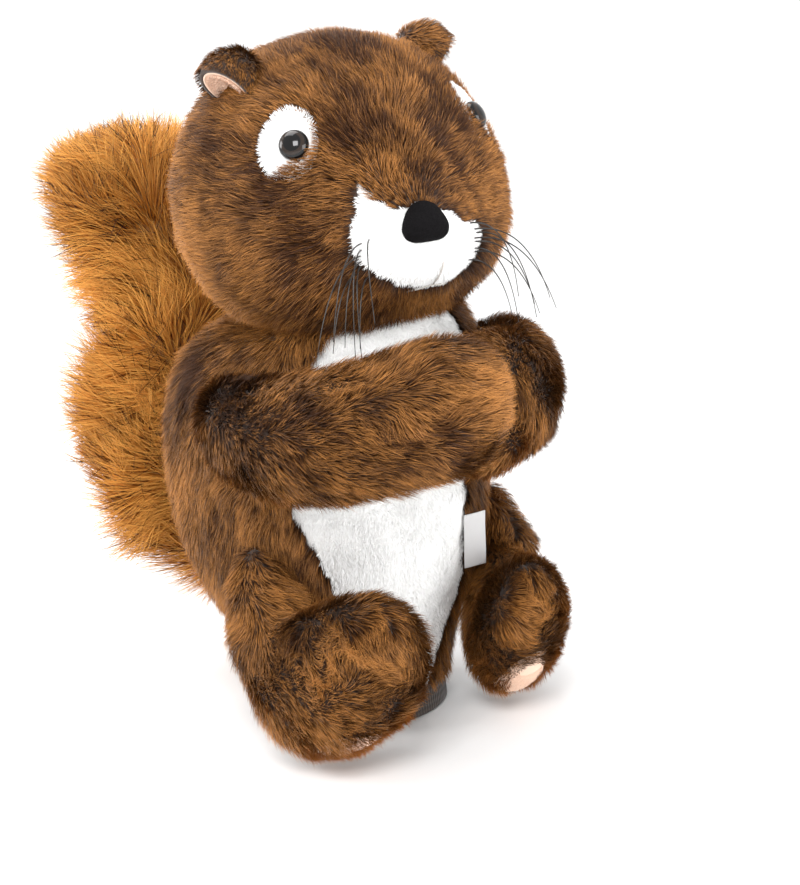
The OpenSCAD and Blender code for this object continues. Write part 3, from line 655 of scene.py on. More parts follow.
def tail_finish(c):
    """Tail pile: shade runs from black guard hairs through russet to orange-tan, lighter to the
    tip."""
    f = Finish("tail_pile", Roughness=0.45, Specular_IOR_Level=0.16)
    u, v = f.sides()
    low = f.colour(v, tuple(c.tail_root), tuple(c.tail_dark))
    high = f.colour(v, tuple(c.tail_root), tuple(c.tail_tip))
    fur = f.colour(u, low, high)
    guard = f.colour(v ** 0.5, tuple(c.tail_dark), (0.008, 0.006, 0.005))
    f.base(u.above(GUARD_BELOW), guard, fur)
    return f


def peach_finish(c):
    """Peach pile: a little lighter to the tip and from strand to strand."""
    f = Finish("peach_pile", Roughness=0.7, Sheen_Weight=0.3)
    u, v = f.sides()
    f.base(u * 0.5 + v * 0.5, tuple(0.8 * x for x in c.peach), tuple(c.peach))
    return f


def backing_finish(name, dark, light, attribute=None, second=None):
    """Knitted backing under the pile: two colours mixed by noise, with fine loops as bump, and a
    second colour where the attribute says so."""
    f = Finish(name, Roughness=0.85, Sheen_Weight=0.2)
    colour = f.colour(f.noise(140, 4), dark, light)
    if attribute:
        mask = f.node("Attribute", {"attribute_name": attribute}, out="Fac")
        colour = f.colour(mask, colour, second)
    f.set("Base Color", colour)
    f.bump(f.noise(900, 2), 0.5, 0.0006)
    return f


def stuffing_finish():
    """Loose white fibre: stretched noise in colour and bump."""
    f = Finish("stuffing_fibre", Roughness=0.9, Sheen_Weight=0.3)
    f.base(f.noise(260, 6, 0.75), (0.62, 0.61, 0.58), (0.9, 0.9, 0.88))
    f.bump(f.noise(420, 6, 0.8), 0.8, 0.0012)
    return f


def woven_finish(name, dark, light, turns, rises):
    """Woven tape or ribbed band: crossed sine ridges of the piece's own map, in colour and
    bump."""
    f = Finish(name, Roughness=0.75, Sheen_Weight=0.15)
    u, v = f.sides()
    weave = (u * turns).sine() * 0.5 + (v * rises).sine() * 0.5
    f.base(weave * 0.5 + 0.5 * f.noise(500, 3), dark, light)
    f.bump(weave, 0.6, 0.0004)
    return f


def nose_finish():
    """Black flock: short dense fibre, two near blacks mixed by noise, and finer noise as bump."""
    f = Finish("nose_flock", Roughness=0.9, Specular_IOR_Level=0.06)
    f.base(f.noise(1500, 4, 0.7), (0.001, 0.001, 0.001), (0.011, 0.010, 0.011))
    f.bump(f.noise(1900, 3, 0.7), 0.9, 0.0007)
    return f


def eye_finish(c):
    """Moulded eye: by distance from its middle on the map, a black pupil, a dark brown ring with
    fine rays, and a black rim, under a clear gloss."""
    f = Finish("eye_gloss", Roughness=0.1, Specular_IOR_Level=0.2, Coat_Weight=0.35,
               Coat_Roughness=0.02)
    u, v = f.sides()
    rays = (v * 340).sine() * 0.12 + f.noise(2500, 2) * 0.3
    ring = u.above(0.58) - u.above(0.80)
    f.base(ring * (0.72 + rays), (0.002, 0.002, 0.002), tuple(c.iris))
    return f


def plain_finish(name, dark, light, scale, rough, bump):
    """Moulded or spun material: two near colours mixed by noise, and the same noise as bump."""
    f = Finish(name, Roughness=rough)
    grain = f.noise(scale, 3)
    f.base(grain, dark, light)
    f.bump(grain, bump, 0.0003)
    return f


# ---- cloth and pile ----

class Pile(NamedTuple):
    """How a patch's pile grows, in millimetres and degrees."""
    density: float  # strands to the square millimetre
    length: float
    width: float  # at the root
    rise: float = 55.0  # from the skin, at the root
    bend: float = 0.3  # share of the rise left at the tip
    waver: float = 0.5  # of the nap
    tuft: float = 0.2  # pull towards the tuft's middle
    tuft_size: float = 6.0
    droop: float = 0.05  # share of the length, under gravity
    pairs: int = 2  # pairs of points along a strand
    spread: tuple = (0.72, 1.12)  # range of the strands' own lengths


SHORT_NAP = {"rise": 50, "bend": 0.6, "waver": 0.4, "tuft": 0, "tuft_size": 4, "droop": 0}


def pile_like(sizes, density, length, width, **shape):
    """Pile of a length whose density and width are shares of the settings."""
    return Pile(density * sizes.density, length, width * sizes.strand_width, **shape)


def grow(name, patch, pile, nap, shade, seed, keep=None, stretch=None):
    """Strands of pile on a patch. Each is a flat ribbon from its root along an arc that starts at
    the rise angle and bends towards the nap: p(s) is the sum of its steps, each the step's length
    times (nap cos b + normal sin b), plus s squared times the pull to its tuft's middle and the
    droop. Its width falls to nothing at the tip, and its map holds its shade across and s
    along."""
    rng = np.random.default_rng(seed)
    thin = 1.0
    count = int(patch.area * pile.density * thin)
    root, normal, along, u, v = patch.scatter(count, rng)
    if keep is not None:
        kept = keep(u, v, root, rng)
        root, normal, along, u, v = (x[kept] for x in (root, normal, along, u, v))
    n = len(root)
    flow = nap(root, along, u)
    flow = unit(flow - np.sum(flow * normal, -1, keepdims=True) * normal)
    turn = pile.waver * (ripple(root, 34, seed + 1) + 0.5 * ripple(root, 12, seed + 2))
    turn = (turn + rng.normal(0, 0.16, n))[:, None]
    flow = flow * np.cos(turn) + np.cross(normal, flow) * np.sin(turn)
    length = pile.length * rng.uniform(*pile.spread, n) * (1 + 0.12 * ripple(root, 22, seed + 3))
    if stretch is not None:
        length = length * stretch(u, v, root)
    rise = pile.rise * rng.uniform(0.75, 1.2, n) * (1 + 0.15 * ripple(root, 16, seed + 4))
    s = np.linspace(0, 1, pile.pairs + 1) ** 0.9
    mid = (s[1:] + s[:-1]) / 2
    angle = np.radians(rise)[:, None] * (1 - (1 - pile.bend) * mid)
    steps = (length[:, None] * np.diff(s))[..., None] * (
        flow[:, None] * np.cos(angle)[..., None] + normal[:, None] * np.sin(angle)[..., None])
    path = root[:, None] + np.concatenate([np.zeros((n, 1, 3)), np.cumsum(steps, 1)], 1)
    pull = tuft_middles(root, pile.tuft_size, seed) - root
    pull = pull - np.sum(pull * normal, -1, keepdims=True) * normal
    path = path + (s**2)[None, :, None] * (pile.tuft * pull)[:, None]
    path[..., 2] -= (s**2) * (pile.droop * length)[:, None]
    way = unit(path[:, -1] - path[:, 0])
    side = unit(np.cross(way, normal))
    twist = rng.uniform(-0.7, 0.7, n)[:, None]
    side = side * np.cos(twist) + np.cross(way, side) * np.sin(twist)
    half = 0.5 * pile.width / (thin ** 0.5) * rng.uniform(0.8, 1.2, n)[:, None]
    across = (half * (1 - s[:-1] ** 2.2)[None])[..., None] * side[:, None]
    left, right = path[:, :-1] - across, path[:, :-1] + across
    k = 2 * pile.pairs + 1
    points = np.concatenate([np.stack([left, right], 2).reshape(n, k - 1, 3), path[:, -1:]], 1)
    tone = np.clip(shade(u, v, root, rng), 0.012, 0.988)
    uv = np.empty((n, k, 2))
    uv[:, :-1:2, 0], uv[:, 1::2, 0] = (tone - 0.006)[:, None], (tone + 0.006)[:, None]
    uv[:, -1, 0] = tone
    uv[:, :-1, 1] = np.repeat(s[:-1], 2)[None] * 0.96 + 0.02
    uv[:, -1, 1] = 0.98
    rungs = range(0, k - 3, 2)
    strip = [(a, a + 1, a + 3) for a in rungs] + [(a, a + 3, a + 2) for a in rungs]
    strip.append((k - 3, k - 2, k - 1))
    faces = (np.arange(n)[:, None, None] * k + np.array(strip)[None]).reshape(-1, 3)
    return mesh_piece(name, points, faces, uv=uv, smooth=False)


def cloth_piece(name, patch, seed, white=None, lumps=0.5):
    """The skin of a patch as a closed piece: its outer face swells and dips by a little noise, and
    is drawn in along its edges, where the seams lie, as a Gaussian of the distance to the
    edge."""
    push = lumps * ripple(patch.outer, 26, seed) - 1.1 * np.exp(-((patch.edge / 2.6) ** 2))
    mask = None if white is None else white(patch.u, patch.v, patch.outer).astype(float)
    return shell(name, patch.outer + push[..., None] * patch.normal, patch.inner, white=mask)


FINISH = {}


def place(obj, finish, node, slot, body="cover"):
    """Gives a piece its finish, hangs it on the body it rides on and hides the solid it stands
    for; its slot is not used."""
    FINISH[finish].on(obj)
    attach(obj, body)
    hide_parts(node)


def lay_cloth(name, patch, hairs, finish, backing, node, slot, seed, body="cover",
              white=None, lumps=0.5):
    """Makes a patch's cloth under the pile already grown on it, gives both their finish and hangs
    them on the body; the cloth's flat size is worked out but not kept."""
    for hair in hairs:
        FINISH[finish].on(hair)
    cloth = cloth_piece(name, patch, seed, white, lumps)
    place(cloth, backing, node, slot, body)
    for hair in hairs:
        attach(hair, body)
    area = patch.area * MM * MM
    wide, long = patch.width * MM, patch.length * MM
    grow_by = max(1.0, (area / (wide * long)) ** 0.5)
    wide * grow_by
    long * grow_by


def pad_piece(name, rings, node, body="cover", uneven=0.35):
    """Stuffing: a closed form over rings, a little uneven below its cloth."""
    rings = np.asarray(rings, float)
    dip = uneven * (ripple(rings, 18, 77) - 1.0)[..., None]
    obj = loft(name, rings + dip * unit(rings - rings.mean(1, keepdims=True)))
    place(obj, "stuffing", node, "stuffing", body)


def settings():
    """The sizes and colours held on the scene."""
    return bpy.context.scene.squirrel_pile, bpy.context.scene.squirrel_colours


def limit_brown(tone):
    """Shades kept within the brown part of the map."""
    return np.clip(tone, 0.02, 0.77)


def brown_tone(middle=0.30, spread=0.255):
    """Shade of brown strands: broad and fine noise of the place, and a random part for each
    strand; low on the right flank it is lighter, a painted highlight where the lamp falls."""
    def shade(u, v, p, rng):
        # painted highlight: the low right flank, on the lamp-lit side, is lightened
        flank = ramp(p[:, 2], 150, -90) * ramp(p[:, 0], -20, -40)
        bright = np.where(rng.random(len(p)) < 0.13, 0.3, -0.03)
        return limit_brown(middle + spread * ripple(p, 52, 11) + 0.19 * ripple(p, 13, 12)
                           + 0.2 * flank + bright + rng.normal(0, 0.14, len(p)))
    return shade


def white_tone(u, v, p, rng):
    """Shade of white strands."""
    return rng.uniform(*WHITE_SHADES, len(p))


def peach_tone(u, v, p, rng):
    """Shade of peach strands."""
    return rng.uniform(0.1, 0.95, len(p))


def none_white(u, v, p):
    """A backing with no white on it."""
    return np.zeros(u.shape)


def away(p, along, u):
    """Nap on the head: away from the nose, and a little down at the sides."""
    return unit(p - spot(head, NOSE_A, NOSE_E)) + np.array([0, 0.15, -0.18])


def down(p, along, u):
    """Nap on the body: down."""
    return np.tile(np.array([0, 0.12, -1.0]), (len(p), 1))


def out_along(p, along, u):
    """Nap on a limb: along it, from the body to its tip."""
    return unit(along) + np.array([0, 0, -0.25])


def to_rim(p, along, u):
    """Nap on an ear: from its middle to its rim."""
    return unit(along)


# ---- settings and operators ----

def length_setting(name, text, value):
    """A length property, in millimetres."""
    return FloatProperty(name=name, description=text, default=value, min=0.0)


def colour_setting(name, text, value):
    """A colour property."""
    return FloatVectorProperty(name=name, description=text, default=value, size=3, min=0.0,
                               max=1.0, subtype="COLOR")


class SquirrelPileSettings(bpy.types.PropertyGroup):
    """Lengths and densities of the pile, in millimetres"""
    brown_length: length_setting("Brown pile", "Length of the brown pile, mm", 10.5)
    white_length: length_setting("White pile", "Length of the white pile, mm", 2.3)
    tail_length: length_setting("Tail pile", "Length of the tail's pile, mm", 30.0)
    strand_width: length_setting("Strand width", "Width of a strand at its root, mm", 0.36)
    density: FloatProperty(name="Density", description="Strands to the square millimetre",
                           default=1.9, min=0.1)
    whisker_count: IntProperty(name="Whiskers", description="Whiskers on each side", default=8,
                               min=1)


class SquirrelColourSettings(bpy.types.PropertyGroup):
    """Colours of the cover"""
    brown_root: colour_setting("Brown root", "Root of the brown pile", (0.012, 0.0045, 0.0016))
    brown_dark: colour_setting("Brown dark", "Dark strands' tips", (0.052, 0.0155, 0.0035))
    brown_tip: colour_setting("Brown tip", "Light strands' tips", (0.70, 0.30, 0.078))
    white_root: colour_setting("White root", "Root of the white pile", (0.86, 0.86, 0.85))
    white_tip: colour_setting("White tip", "Tip of the white pile", (0.97, 0.97, 0.97))
    tail_root: colour_setting("Tail root", "Root of the tail's pile", (0.44, 0.135, 0.012))
    tail_dark: colour_setting("Tail dark", "Dark tips of the tail", (0.085, 0.024, 0.006))
    tail_tip: colour_setting("Tail tip", "Light tips of the tail", (1.0, 0.51, 0.118))
    peach: colour_setting("Peach", "Ear linings and soles", (0.93, 0.66, 0.50))
    iris: colour_setting("Iris", "Ring of the eye", (0.022, 0.014, 0.010))


class MakeStep(bpy.types.Operator):
    """One step in making the cover"""
    bl_idname = "squirrel_cover.step"
    bl_label = "Step"
    bl_options = {"REGISTER"}

    def execute(self, context):
        """Makes the step's pieces."""
        self.make(*settings())
        return {"FINISHED"}

    def make(self, sizes, colours):
        """Makes the pieces of this step."""


LIGHTS = {  # place in metres, size in metres, power in watts
    "key": ((-0.75, -1.1, 1.15), 0.6, 19.0), "fill": ((0.55, -1.5, 0.25), 0.9, 17.0),
    "top": ((-0.1, 0.3, 1.35), 0.8, 10.0), "rim": ((-1.0, 0.8, 0.7), 0.6, 9.0)}
LIT = np.array([0, -0.02, 0.18])
CAMERA_ANGLES, CAMERA_LENS = (-31.0, 13.0, -6.8), 82.0
CAMERA_AIM, CAMERA_AWAY = np.array([2, -62, 149.0]), 980
FLOOR_Z, FLOOR_COLS = -0.6, 24


class SQUIRREL_OT_stage(MakeStep):
    """Floor, lights and camera"""
    bl_idname = "squirrel_cover.stage"
    bl_label = "Stage"

    def make(self, sizes, colours):
        """A pale sweep of floor that rises behind, soft lights, and the camera."""
        self.floor()
        self.light()
        self.camera()

    def floor(self):
        """A flat floor, a quarter round of 700 mm, and a wall."""
        q = np.linspace(0.1, np.pi / 2, 16)
        y = np.concatenate([np.linspace(-2600, 900, 12), 900 + 700 * np.sin(q), np.full(4, 1600)])
        z = np.concatenate([np.full(12, FLOOR_Z), 700 * (1 - np.cos(q)) + FLOOR_Z,
                            np.linspace(900, 2600, 4)])
        x = np.linspace(-3000, 3000, FLOOR_COLS)
        points = np.stack(np.broadcast_arrays(x[None], y[:, None], z[:, None]), -1)
        floor = mesh_piece("studio_floor", points, grid_faces(len(y), FLOOR_COLS))
        finish = Finish("studio_paper", Roughness=0.9)
        finish.base(finish.noise(3, 2), (0.86, 0.86, 0.86), (0.9, 0.9, 0.9))
        finish.on(floor)

    def light(self):
        """An even white world and four area lamps that face the cover."""
        world = bpy.data.worlds.new("studio_light")
        world.use_nodes = True
        colour, strength = world.node_tree.nodes["Background"].inputs[:2]
        colour.default_value, strength.default_value = (1, 1, 1, 1), 1.0
        bpy.context.scene.world = world
        for name, (spot_at, size, power) in LIGHTS.items():
            data = bpy.data.lights.new(name + "_light", "AREA")
            data.size, data.energy = size, power
            lamp = bpy.data.objects.new(name + "_light", data)
            bpy.context.scene.collection.objects.link(lamp)
            lamp.location = spot_at
            way = unit(np.array(spot_at) - LIT)
            lamp.rotation_euler = (np.arccos(way[2]), 0, np.arctan2(way[1], way[0]) + np.pi / 2)

    def camera(self):
        """A camera turned about the cover, raised, and rolled about its own axis."""
        scene = bpy.context.scene
        scene.view_settings.view_transform = "Standard"
        turn, rise, roll = np.radians(CAMERA_ANGLES)
        back = np.array([np.sin(turn) * np.cos(rise), -np.cos(turn) * np.cos(rise), np.sin(rise)])
        right = np.array([np.cos(turn), np.sin(turn), 0])
        up = np.cross(back, right)
        data = bpy.data.cameras.new("studio_camera")
        data.lens = CAMERA_LENS
        camera = bpy.data.objects.new("studio_camera", data)
        scene.collection.objects.link(camera)
        matrix = np.eye(4)
        matrix[:3, 0] = right * np.cos(roll) + up * np.sin(roll)
        matrix[:3, 1] = -right * np.sin(roll) + up * np.cos(roll)
        matrix[:3, 2] = back
        matrix[:3, 3] = (CAMERA_AIM + back * CAMERA_AWAY) * MM
        camera.matrix_world = matrix.T.tolist()
        scene.camera = camera


class SQUIRREL_OT_finishes(MakeStep):
    """Materials of pile, cloth, trim and face"""
    bl_idname = "squirrel_cover.finishes"
    bl_label = "Finishes"

    def make(self, sizes, colours):
        """One material for each finish."""
        white, peach = tuple(colours.white_root), tuple(colours.peach)
        FINISH.update(
            plush=plush_finish(colours), tail=tail_finish(colours),
            peach_pile=peach_finish(colours),
            # brown backing: near-black cloth colour, which also serves as painted shade deep in the
            # pile
            backing=backing_finish("brown_backing", (0.018, 0.009, 0.005), (0.06, 0.03, 0.016),
                                   "white", white),
            tail_backing=backing_finish("tail_backing", (0.16, 0.06, 0.016), (0.36, 0.16, 0.045)),
            peach=backing_finish("peach_backing", tuple(0.8 * x for x in peach), peach),
            stuffing=stuffing_finish(), nose=nose_finish(), eye=eye_finish(colours),
            lining=backing_finish("lining_fleece", (0.36, 0.33, 0.29), (0.5, 0.47, 0.43)),
            tape=woven_finish("hem_tape", (0.015, 0.01, 0.008), (0.06, 0.04, 0.028), 900, 160),
            elastic=woven_finish("neck_elastic", (0.62, 0.62, 0.6), (0.86, 0.86, 0.84), 1500, 44),
            label=woven_finish("blank_label", (0.92, 0.91, 0.91), (1.0, 1.0, 1.0), 500, 900),
            # mouth thread: a real stitch, coloured grey so it reads as a faint painted shade line
            thread=plain_finish("mouth_thread", (0.40, 0.37, 0.34), (0.55, 0.52, 0.49), 3000,
                                0.8, 0.6),
            whisker=plain_finish("whisker_nylon", (0.004, 0.0035, 0.003), (0.02, 0.015, 0.012),
                                 800, 0.35, 0.1),
            washer=plain_finish("washer_plastic", (0.7, 0.7, 0.68), (0.8, 0.8, 0.78), 500, 0.45,
                                0.2))


RUFFLES, RUFFLE_REACH = 26, 16
HEM_COLS = 105


def turned(name, profile, ruffle=0.0):
    """A closed profile of (radius, height) turned about the upright axis, drawn in by gathers near
    the elastic."""
    t = np.linspace(0, 2 * np.pi, HEM_COLS)
    r, z = np.asarray(profile, float).T
    depth = ruffle * (0.5 + 0.5 * np.cos(RUFFLES * t))
    radius = r[:, None] - depth * bell(z, ELASTIC_Z, RUFFLE_REACH)[:, None]
    points = np.stack([radius * np.sin(t), -radius * np.cos(t),
                       np.tile(z[:, None], (1, HEM_COLS))], -1)
    uv = np.stack(np.broadcast_arrays(map_line(HEM_COLS)[None], map_line(len(r))[:, None]), -1)
    return mesh_piece(name, points, grid_faces(len(r), HEM_COLS), uv=uv, closed=True)


def closed_profile(rows, steps):
    """The rows as a closed line, with even steps added along it."""
    rows = np.asarray(rows + rows[:1], float)
    run = np.linalg.norm(np.diff(rows, axis=0), axis=1)
    run = np.concatenate([[0], np.cumsum(run)])
    s = np.unique(np.concatenate([run, np.linspace(0, run[-1], steps)]))
    return np.stack([np.interp(s, run, rows[:, 0]), np.interp(s, run, rows[:, 1])], -1)


class SQUIRREL_OT_pocket(MakeStep):
    """Hem binding, pocket lining and neck elastic"""
    bl_idname = "squirrel_cover.pocket"
    bl_label = "Pocket"

    def make(self, sizes, colours):
        """The tape folds round the hem; the lining is drawn in by the elastic."""
        over, under = SLEEVE_R + SEAM_GAP, LINING_R - SEAM_GAP
        tape = turned("hem_tape", closed_profile([
            (MOUTH_R, 0.8), (MOUTH_R + 0.8, 0), (HEM_R - 0.8, 0), (HEM_R, 0.8), (HEM_R, HEM_H),
            (over, HEM_H), (over, TAPE_T), (under, TAPE_T), (under, HEM_H), (MOUTH_R, HEM_H)], 50))
        place(tape, "tape", "hem_binding", "hem_tape")
        long, wide = 2 * np.pi * TAPE_R * MM, TAPE_FLAT_W * MM
        long * wide
        top = POCKET_TOP
        inner = np.array([(r, z) for z, r in (
            (TAPE_T + SEAM_GAP, LINING_R), (HEM_H + 2, LINING_R), *POCKET_ROWS,
            (top - LINING_T, 0))])
        outer = [(r + (LINING_T if z < 0.9 * top else 0.65 * LINING_T) * (r > 1),
                  z + (0.7 * LINING_T if z > 0.9 * top else 0) + (0.3 * LINING_T if r < 1 else 0))
                 for r, z in inner]
        profile = closed_profile([*inner, *outer[::-1]], 170)
        lining = turned("pocket_lining_cloth", profile, ruffle=0.9)
        place(lining, "lining", "pocket_lining", "lining_fleece")
        r = MOUTH_R + LINING_T + SEAM_GAP
        low, high = ELASTIC_Z - ELASTIC_W / 2 + 0.5, ELASTIC_Z + ELASTIC_W / 2 - 0.5
        band = turned("elastic_band", closed_profile([(r, low), (r + 1, low), (r + 1, high),
                                                      (r, high)], 40))
        place(band, "elastic", "neck_elastic", "elastic")
        long, wide = 2 * np.pi * (r + 0.5) * MM, (high - low) * MM + 0.001
        long * wide


LABEL_Z = 0.43 * NECK_Z
LABEL_A = BELLY_TURN + belly_half(LABEL_Z)


class SQUIRREL_OT_body(MakeStep):
    """Body cloth, its pile, stuffing and side label"""
    bl_idname = "squirrel_cover.body"
    bl_label = "Body"

    def make(self, sizes, colours):
        """Four panels round the body, each an angle range at each height."""
        brown = sizes.brown_length
        long = pile_like(sizes, 1, brown, 1, rise=58, bend=0.25, waver=0.45)
        sparse = pile_like(sizes, 0.6, brown, 1.3, rise=58, bend=0.25, waver=0.45)
        short = pile_like(sizes, 1.3, brown, 0.8, rise=56, bend=0.4, waver=0.45, tuft=0.25,
                          tuft_size=5)
        seams = (lambda z: BELLY_TURN - belly_half(z), lambda z: BELLY_TURN + belly_half(z),
                 lambda z: BACK_A + 0 * z, lambda z: 360 - BACK_A + 0 * z,
                 lambda z: 360 + BELLY_TURN - belly_half(z))
        for k, (name, node, slot, cols, pile) in enumerate((
                ("belly", "belly_panel", "white_plush", 50, short),
                ("left", "left_side_panel", "brown_plush", 56, long),
                ("back", "back_panel", "brown_plush", 70, sparse),
                ("right", "right_side_panel", "brown_plush", 56, long))):
            self.panel(name, node, slot, cols, pile, k, seams[k:k + 2], sizes)
        self.stuffing()
        self.label()

    def panel(self, name, node, slot, cols, pile, k, seams, sizes):
        """One panel between two seams; its pile is short on white, at the hem and round the
        label."""
        label = spot(trunk, LABEL_A, LABEL_Z) + np.array([2, -3, 0])

        def angle(z, f):
            return mix(seams[0](z), seams[1](z), f)

        def surface(z, f, depth):
            return trunk(angle(z, f), z, depth)

        def white(z, f, p):
            return trunk_white(angle(z, f), z, p)

        def lengths(z, f, p):
            share = np.where(z < 26, mix(0.45, 1.0, ramp(z, 8, 18)), 1.0)
            apart = np.linalg.norm((p - label) / [1, 1, 1.5], axis=-1)
            share *= mix(0.3, 1.0, ramp(apart, 9, 8))
            return share * np.where(white(z, f, p), sizes.white_length / sizes.brown_length, 1.0)

        def shade(z, f, p, rng):
            return np.where(white(z, f, p), white_tone(z, f, p, rng), brown_tone()(z, f, p, rng))
        zs = np.interp(np.linspace(0, 9, 76), np.linspace(0, 9, 19), TRUNK[:, 0])
        patch = Patch(surface, zs, np.linspace(0, 1, cols))
        hair = grow(f"body_pile_{name}", patch, pile, down, shade, 100 + 10 * k,
                    keep=lambda z, f, p, rng: z > HEM_H + 1.5, stretch=lengths)
        lay_cloth(f"body_cloth_{name}", patch, [hair], "plush", "backing", node, slot,
                  20 + k, white=white)

    def stuffing(self):
        """Fibre between the pocket and the cloth, from the inside out."""
        cols = 72
        a = np.linspace(0, 360, cols + 1)[:-1]
        t = np.radians(a)
        top, foot = POCKET_TOP, HEM_H + 14
        throat = np.interp(foot, [HEM_H + 2, ELASTIC_Z - ELASTIC_W / 2], [LINING_R, MOUTH_R])
        rows = [(foot, throat), *POCKET_ROWS, (top + LINING_T, 0.3 * POCKET_R)]
        inner = [np.stack([(r + 2.8) * np.sin(t), -(r + 2.8) * np.cos(t),
                           np.full(cols, z + (1.3 if z > 0.9 * top else 0))], -1)
                 for z, r in rows[::-1]]
        heights = TRUNK[(TRUNK[:, 0] > foot + 1) & (TRUNK[:, 0] < NECK_Z - 1), 0]
        outer = [trunk(a, np.full(cols, z), SKIN_T + PAD_GAP)
                 for z in [foot, *heights, NECK_Z - 0.8]]
        pad_piece("body_stuffing_fibre", inner + outer, "body_stuffing", uneven=0.0)

    def label(self):
        """A blank satin tab in the belly's left seam; its free end curls a little, as a
        parabola."""
        out = outward(trunk, LABEL_A, LABEL_Z, 2)
        turn = np.arctan2(out[0], -out[1]) - np.radians(LABEL_TURN)
        x, z = np.meshgrid(np.linspace(-1, LABEL_W - 1, 25),
                           np.linspace(-LABEL_H / 2, LABEL_H / 2, 41), indexing="ij")
        y = 0.9 * ((x + 1) / LABEL_W) ** 2 + 0.35 * np.sin(z / 5) * (x + 1) / LABEL_W
        lean = rotation(2, turn) @ rotation(0, -np.arcsin(out[2]))
        base = spot(trunk, LABEL_A, LABEL_Z) + 3.0 * out

        def sheet_at(dy):
            return np.stack([x, y + dy, z], -1) @ lean.T + base
        uv = np.stack(np.meshgrid(*map(map_line, x.shape), indexing="ij"), -1)
        obj = shell("side_label_tab", sheet_at(-0.2), sheet_at(0.2), uv=uv)
        place(obj, "label", "side_label", "blank_label")


EYE_OUT = outward(head, EYE_A, EYE_E, 1)
EYE_C = spot(head, EYE_A, EYE_E)
HALF_W, HALF_H = HEAD_W / 2, HEAD_H / 2
PATCH_COS = np.cos(np.radians(PATCH_E))


def patch_place(f, t, side=1):
    """Angles of a place on the eye patch, at share f of its reach and angle t round its middle:
    the reach is an ellipse's."""
    t = np.radians(t)
    reach = (PATCH_W / 2) * (PATCH_H / 2) / np.hypot(PATCH_H / 2 * np.cos(t),
                                                     PATCH_W / 2 * np.sin(t))
    a = PATCH_A + reach * f * np.cos(t) / HALF_W * 180 / np.pi / PATCH_COS
    return side * a, PATCH_E + reach * f * np.sin(t) / HALF_H * 180 / np.pi


def patch_share(a, e):
    """How far out on the nearer eye patch a place is: 1 on its rim. The pile's tan edge cuts the
    low inner corner off, as a straight line."""
    x = (np.abs(signed(a)) - PATCH_A) * PATCH_COS * np.pi / 180 * HALF_W
    y = (e - PATCH_E) * np.pi / 180 * HALF_H
    share = np.hypot(x / (PATCH_W / 2), y / (PATCH_H / 2))
    return np.maximum(share, 0.93 + (-0.62 * x - 0.78 * y - 8.4) / 9)


class SQUIRREL_OT_head(MakeStep):
    """Head cloth, its pile and stuffing"""
    bl_idname = "squirrel_cover.head"
    bl_label = "Head"

    def make(self, sizes, colours):
        """Panels between shared seams, in angle round and angle above level."""
        brown = sizes.brown_length
        pile = pile_like(sizes, 1, brown, 1, rise=52, bend=0.3, waver=0.42)
        rear = pile_like(sizes, 0.7, brown, 1.2, rise=52, bend=0.3, waver=0.42)
        face = pile_like(sizes, 1.3, brown, 0.8, rise=48, bend=0.35, waver=0.3, tuft=0.25,
                         tuft_size=5)

        def length(a, e, p):
            nose = np.hypot(np.abs(signed(a)) / 1.2, e - NOSE_E)
            share = mix(0.45, 1.0, ramp(nose, 8, 26))
            share *= mix(0.5, 1.0, ramp(patch_share(a, e), 1.0, 0.35))
            return np.where(head_white(a, e, p), sizes.white_length / brown, share)

        def tone(a, e, p, rng):
            # painted highlight: the lower rear of the head is lightened
            behind = ramp(np.abs(signed(a)), 62, 30) * ramp(e, 40, -50)
            shade = limit_brown(brown_tone(0.26)(a, e, p, rng) + 0.22 * behind)
            return np.where(head_white(a, e, p), white_tone(a, e, p, rng), shade)

        def keep(a, e, p, rng):
            return patch_share(a, e) > 0.97
        front, cheek, whole = (-FACE_A, FACE_A), (FACE_A, EAR_SEAM_A), (NECK_E, CROWN_E)
        for k, (name, a_range, e_range, node, slot, size, kind) in enumerate((
                ("muzzle", front, (MUZZLE_LOW, MUZZLE_HIGH), "muzzle_panel", "white_plush",
                 (64, 44), face),
                ("forehead", front, (MUZZLE_HIGH, CROWN_E), "forehead_panel", "brown_plush",
                 (44, 44), pile),
                ("chin", front, (NECK_E, MUZZLE_LOW), "chin_panel", "brown_plush", (36, 16), face),
                ("cheek_left", cheek, whole, "left_cheek_panel", "brown_plush", (48, 76), pile),
                ("cheek_right", (-EAR_SEAM_A, -FACE_A), whole, "right_cheek_panel",
                 "brown_plush", (48, 76), pile),
                ("nape", (EAR_SEAM_A, 360 - EAR_SEAM_A), whole, "head_back_panel",
                 "brown_plush", (84, 72), rear),
                ("crown", (-180, 180), (CROWN_E, 90), "crown_panel", "brown_plush", (96, 16),
                 pile))):
            patch = Patch(head, np.linspace(*a_range, size[0]), np.linspace(*e_range, size[1]))
            hair = grow(f"head_pile_{name}", patch, kind, away, tone, 300 + 10 * k, keep=keep,
                        stretch=length)
            lay_cloth(f"head_cloth_{name}", patch, [hair], "plush", "backing", node, slot,
                      40 + k, white=head_white, lumps=0.35)
        a = np.linspace(0, 360, 73)[:-1]
        levels = [*np.linspace(NECK_E, MUZZLE_LOW, 5), *np.linspace(-38, CROWN_E, 26), 68, 74, 80,
                  86]
        rings = [head(a, np.full(len(a), e), SKIN_T + 0.7) for e in levels]
        pad_piece("head_stuffing_fibre", rings, "head_stuffing")


STALK_R, EYE_COLS = 2.4, 65
STITCHES = ((0, -20, 0, -29), (0, -29.5, -9, -33), (0, -29.5, 9, -33))
STITCH_CAP = np.array([[0, 1, 2, 3], [0, 3, 4, 7], [4, 5, 6, 7]])
WHISKER_ROWS = np.array([  # angles of the root, droop, share of the length
    [21, -12, 0.62, 0.9], [26, -15, 0.76, 0.92], [22, -19, 0.72, 0.82], [27, -22, 0.8, 0.74],
    [22, -26, 0.78, 0.6]])


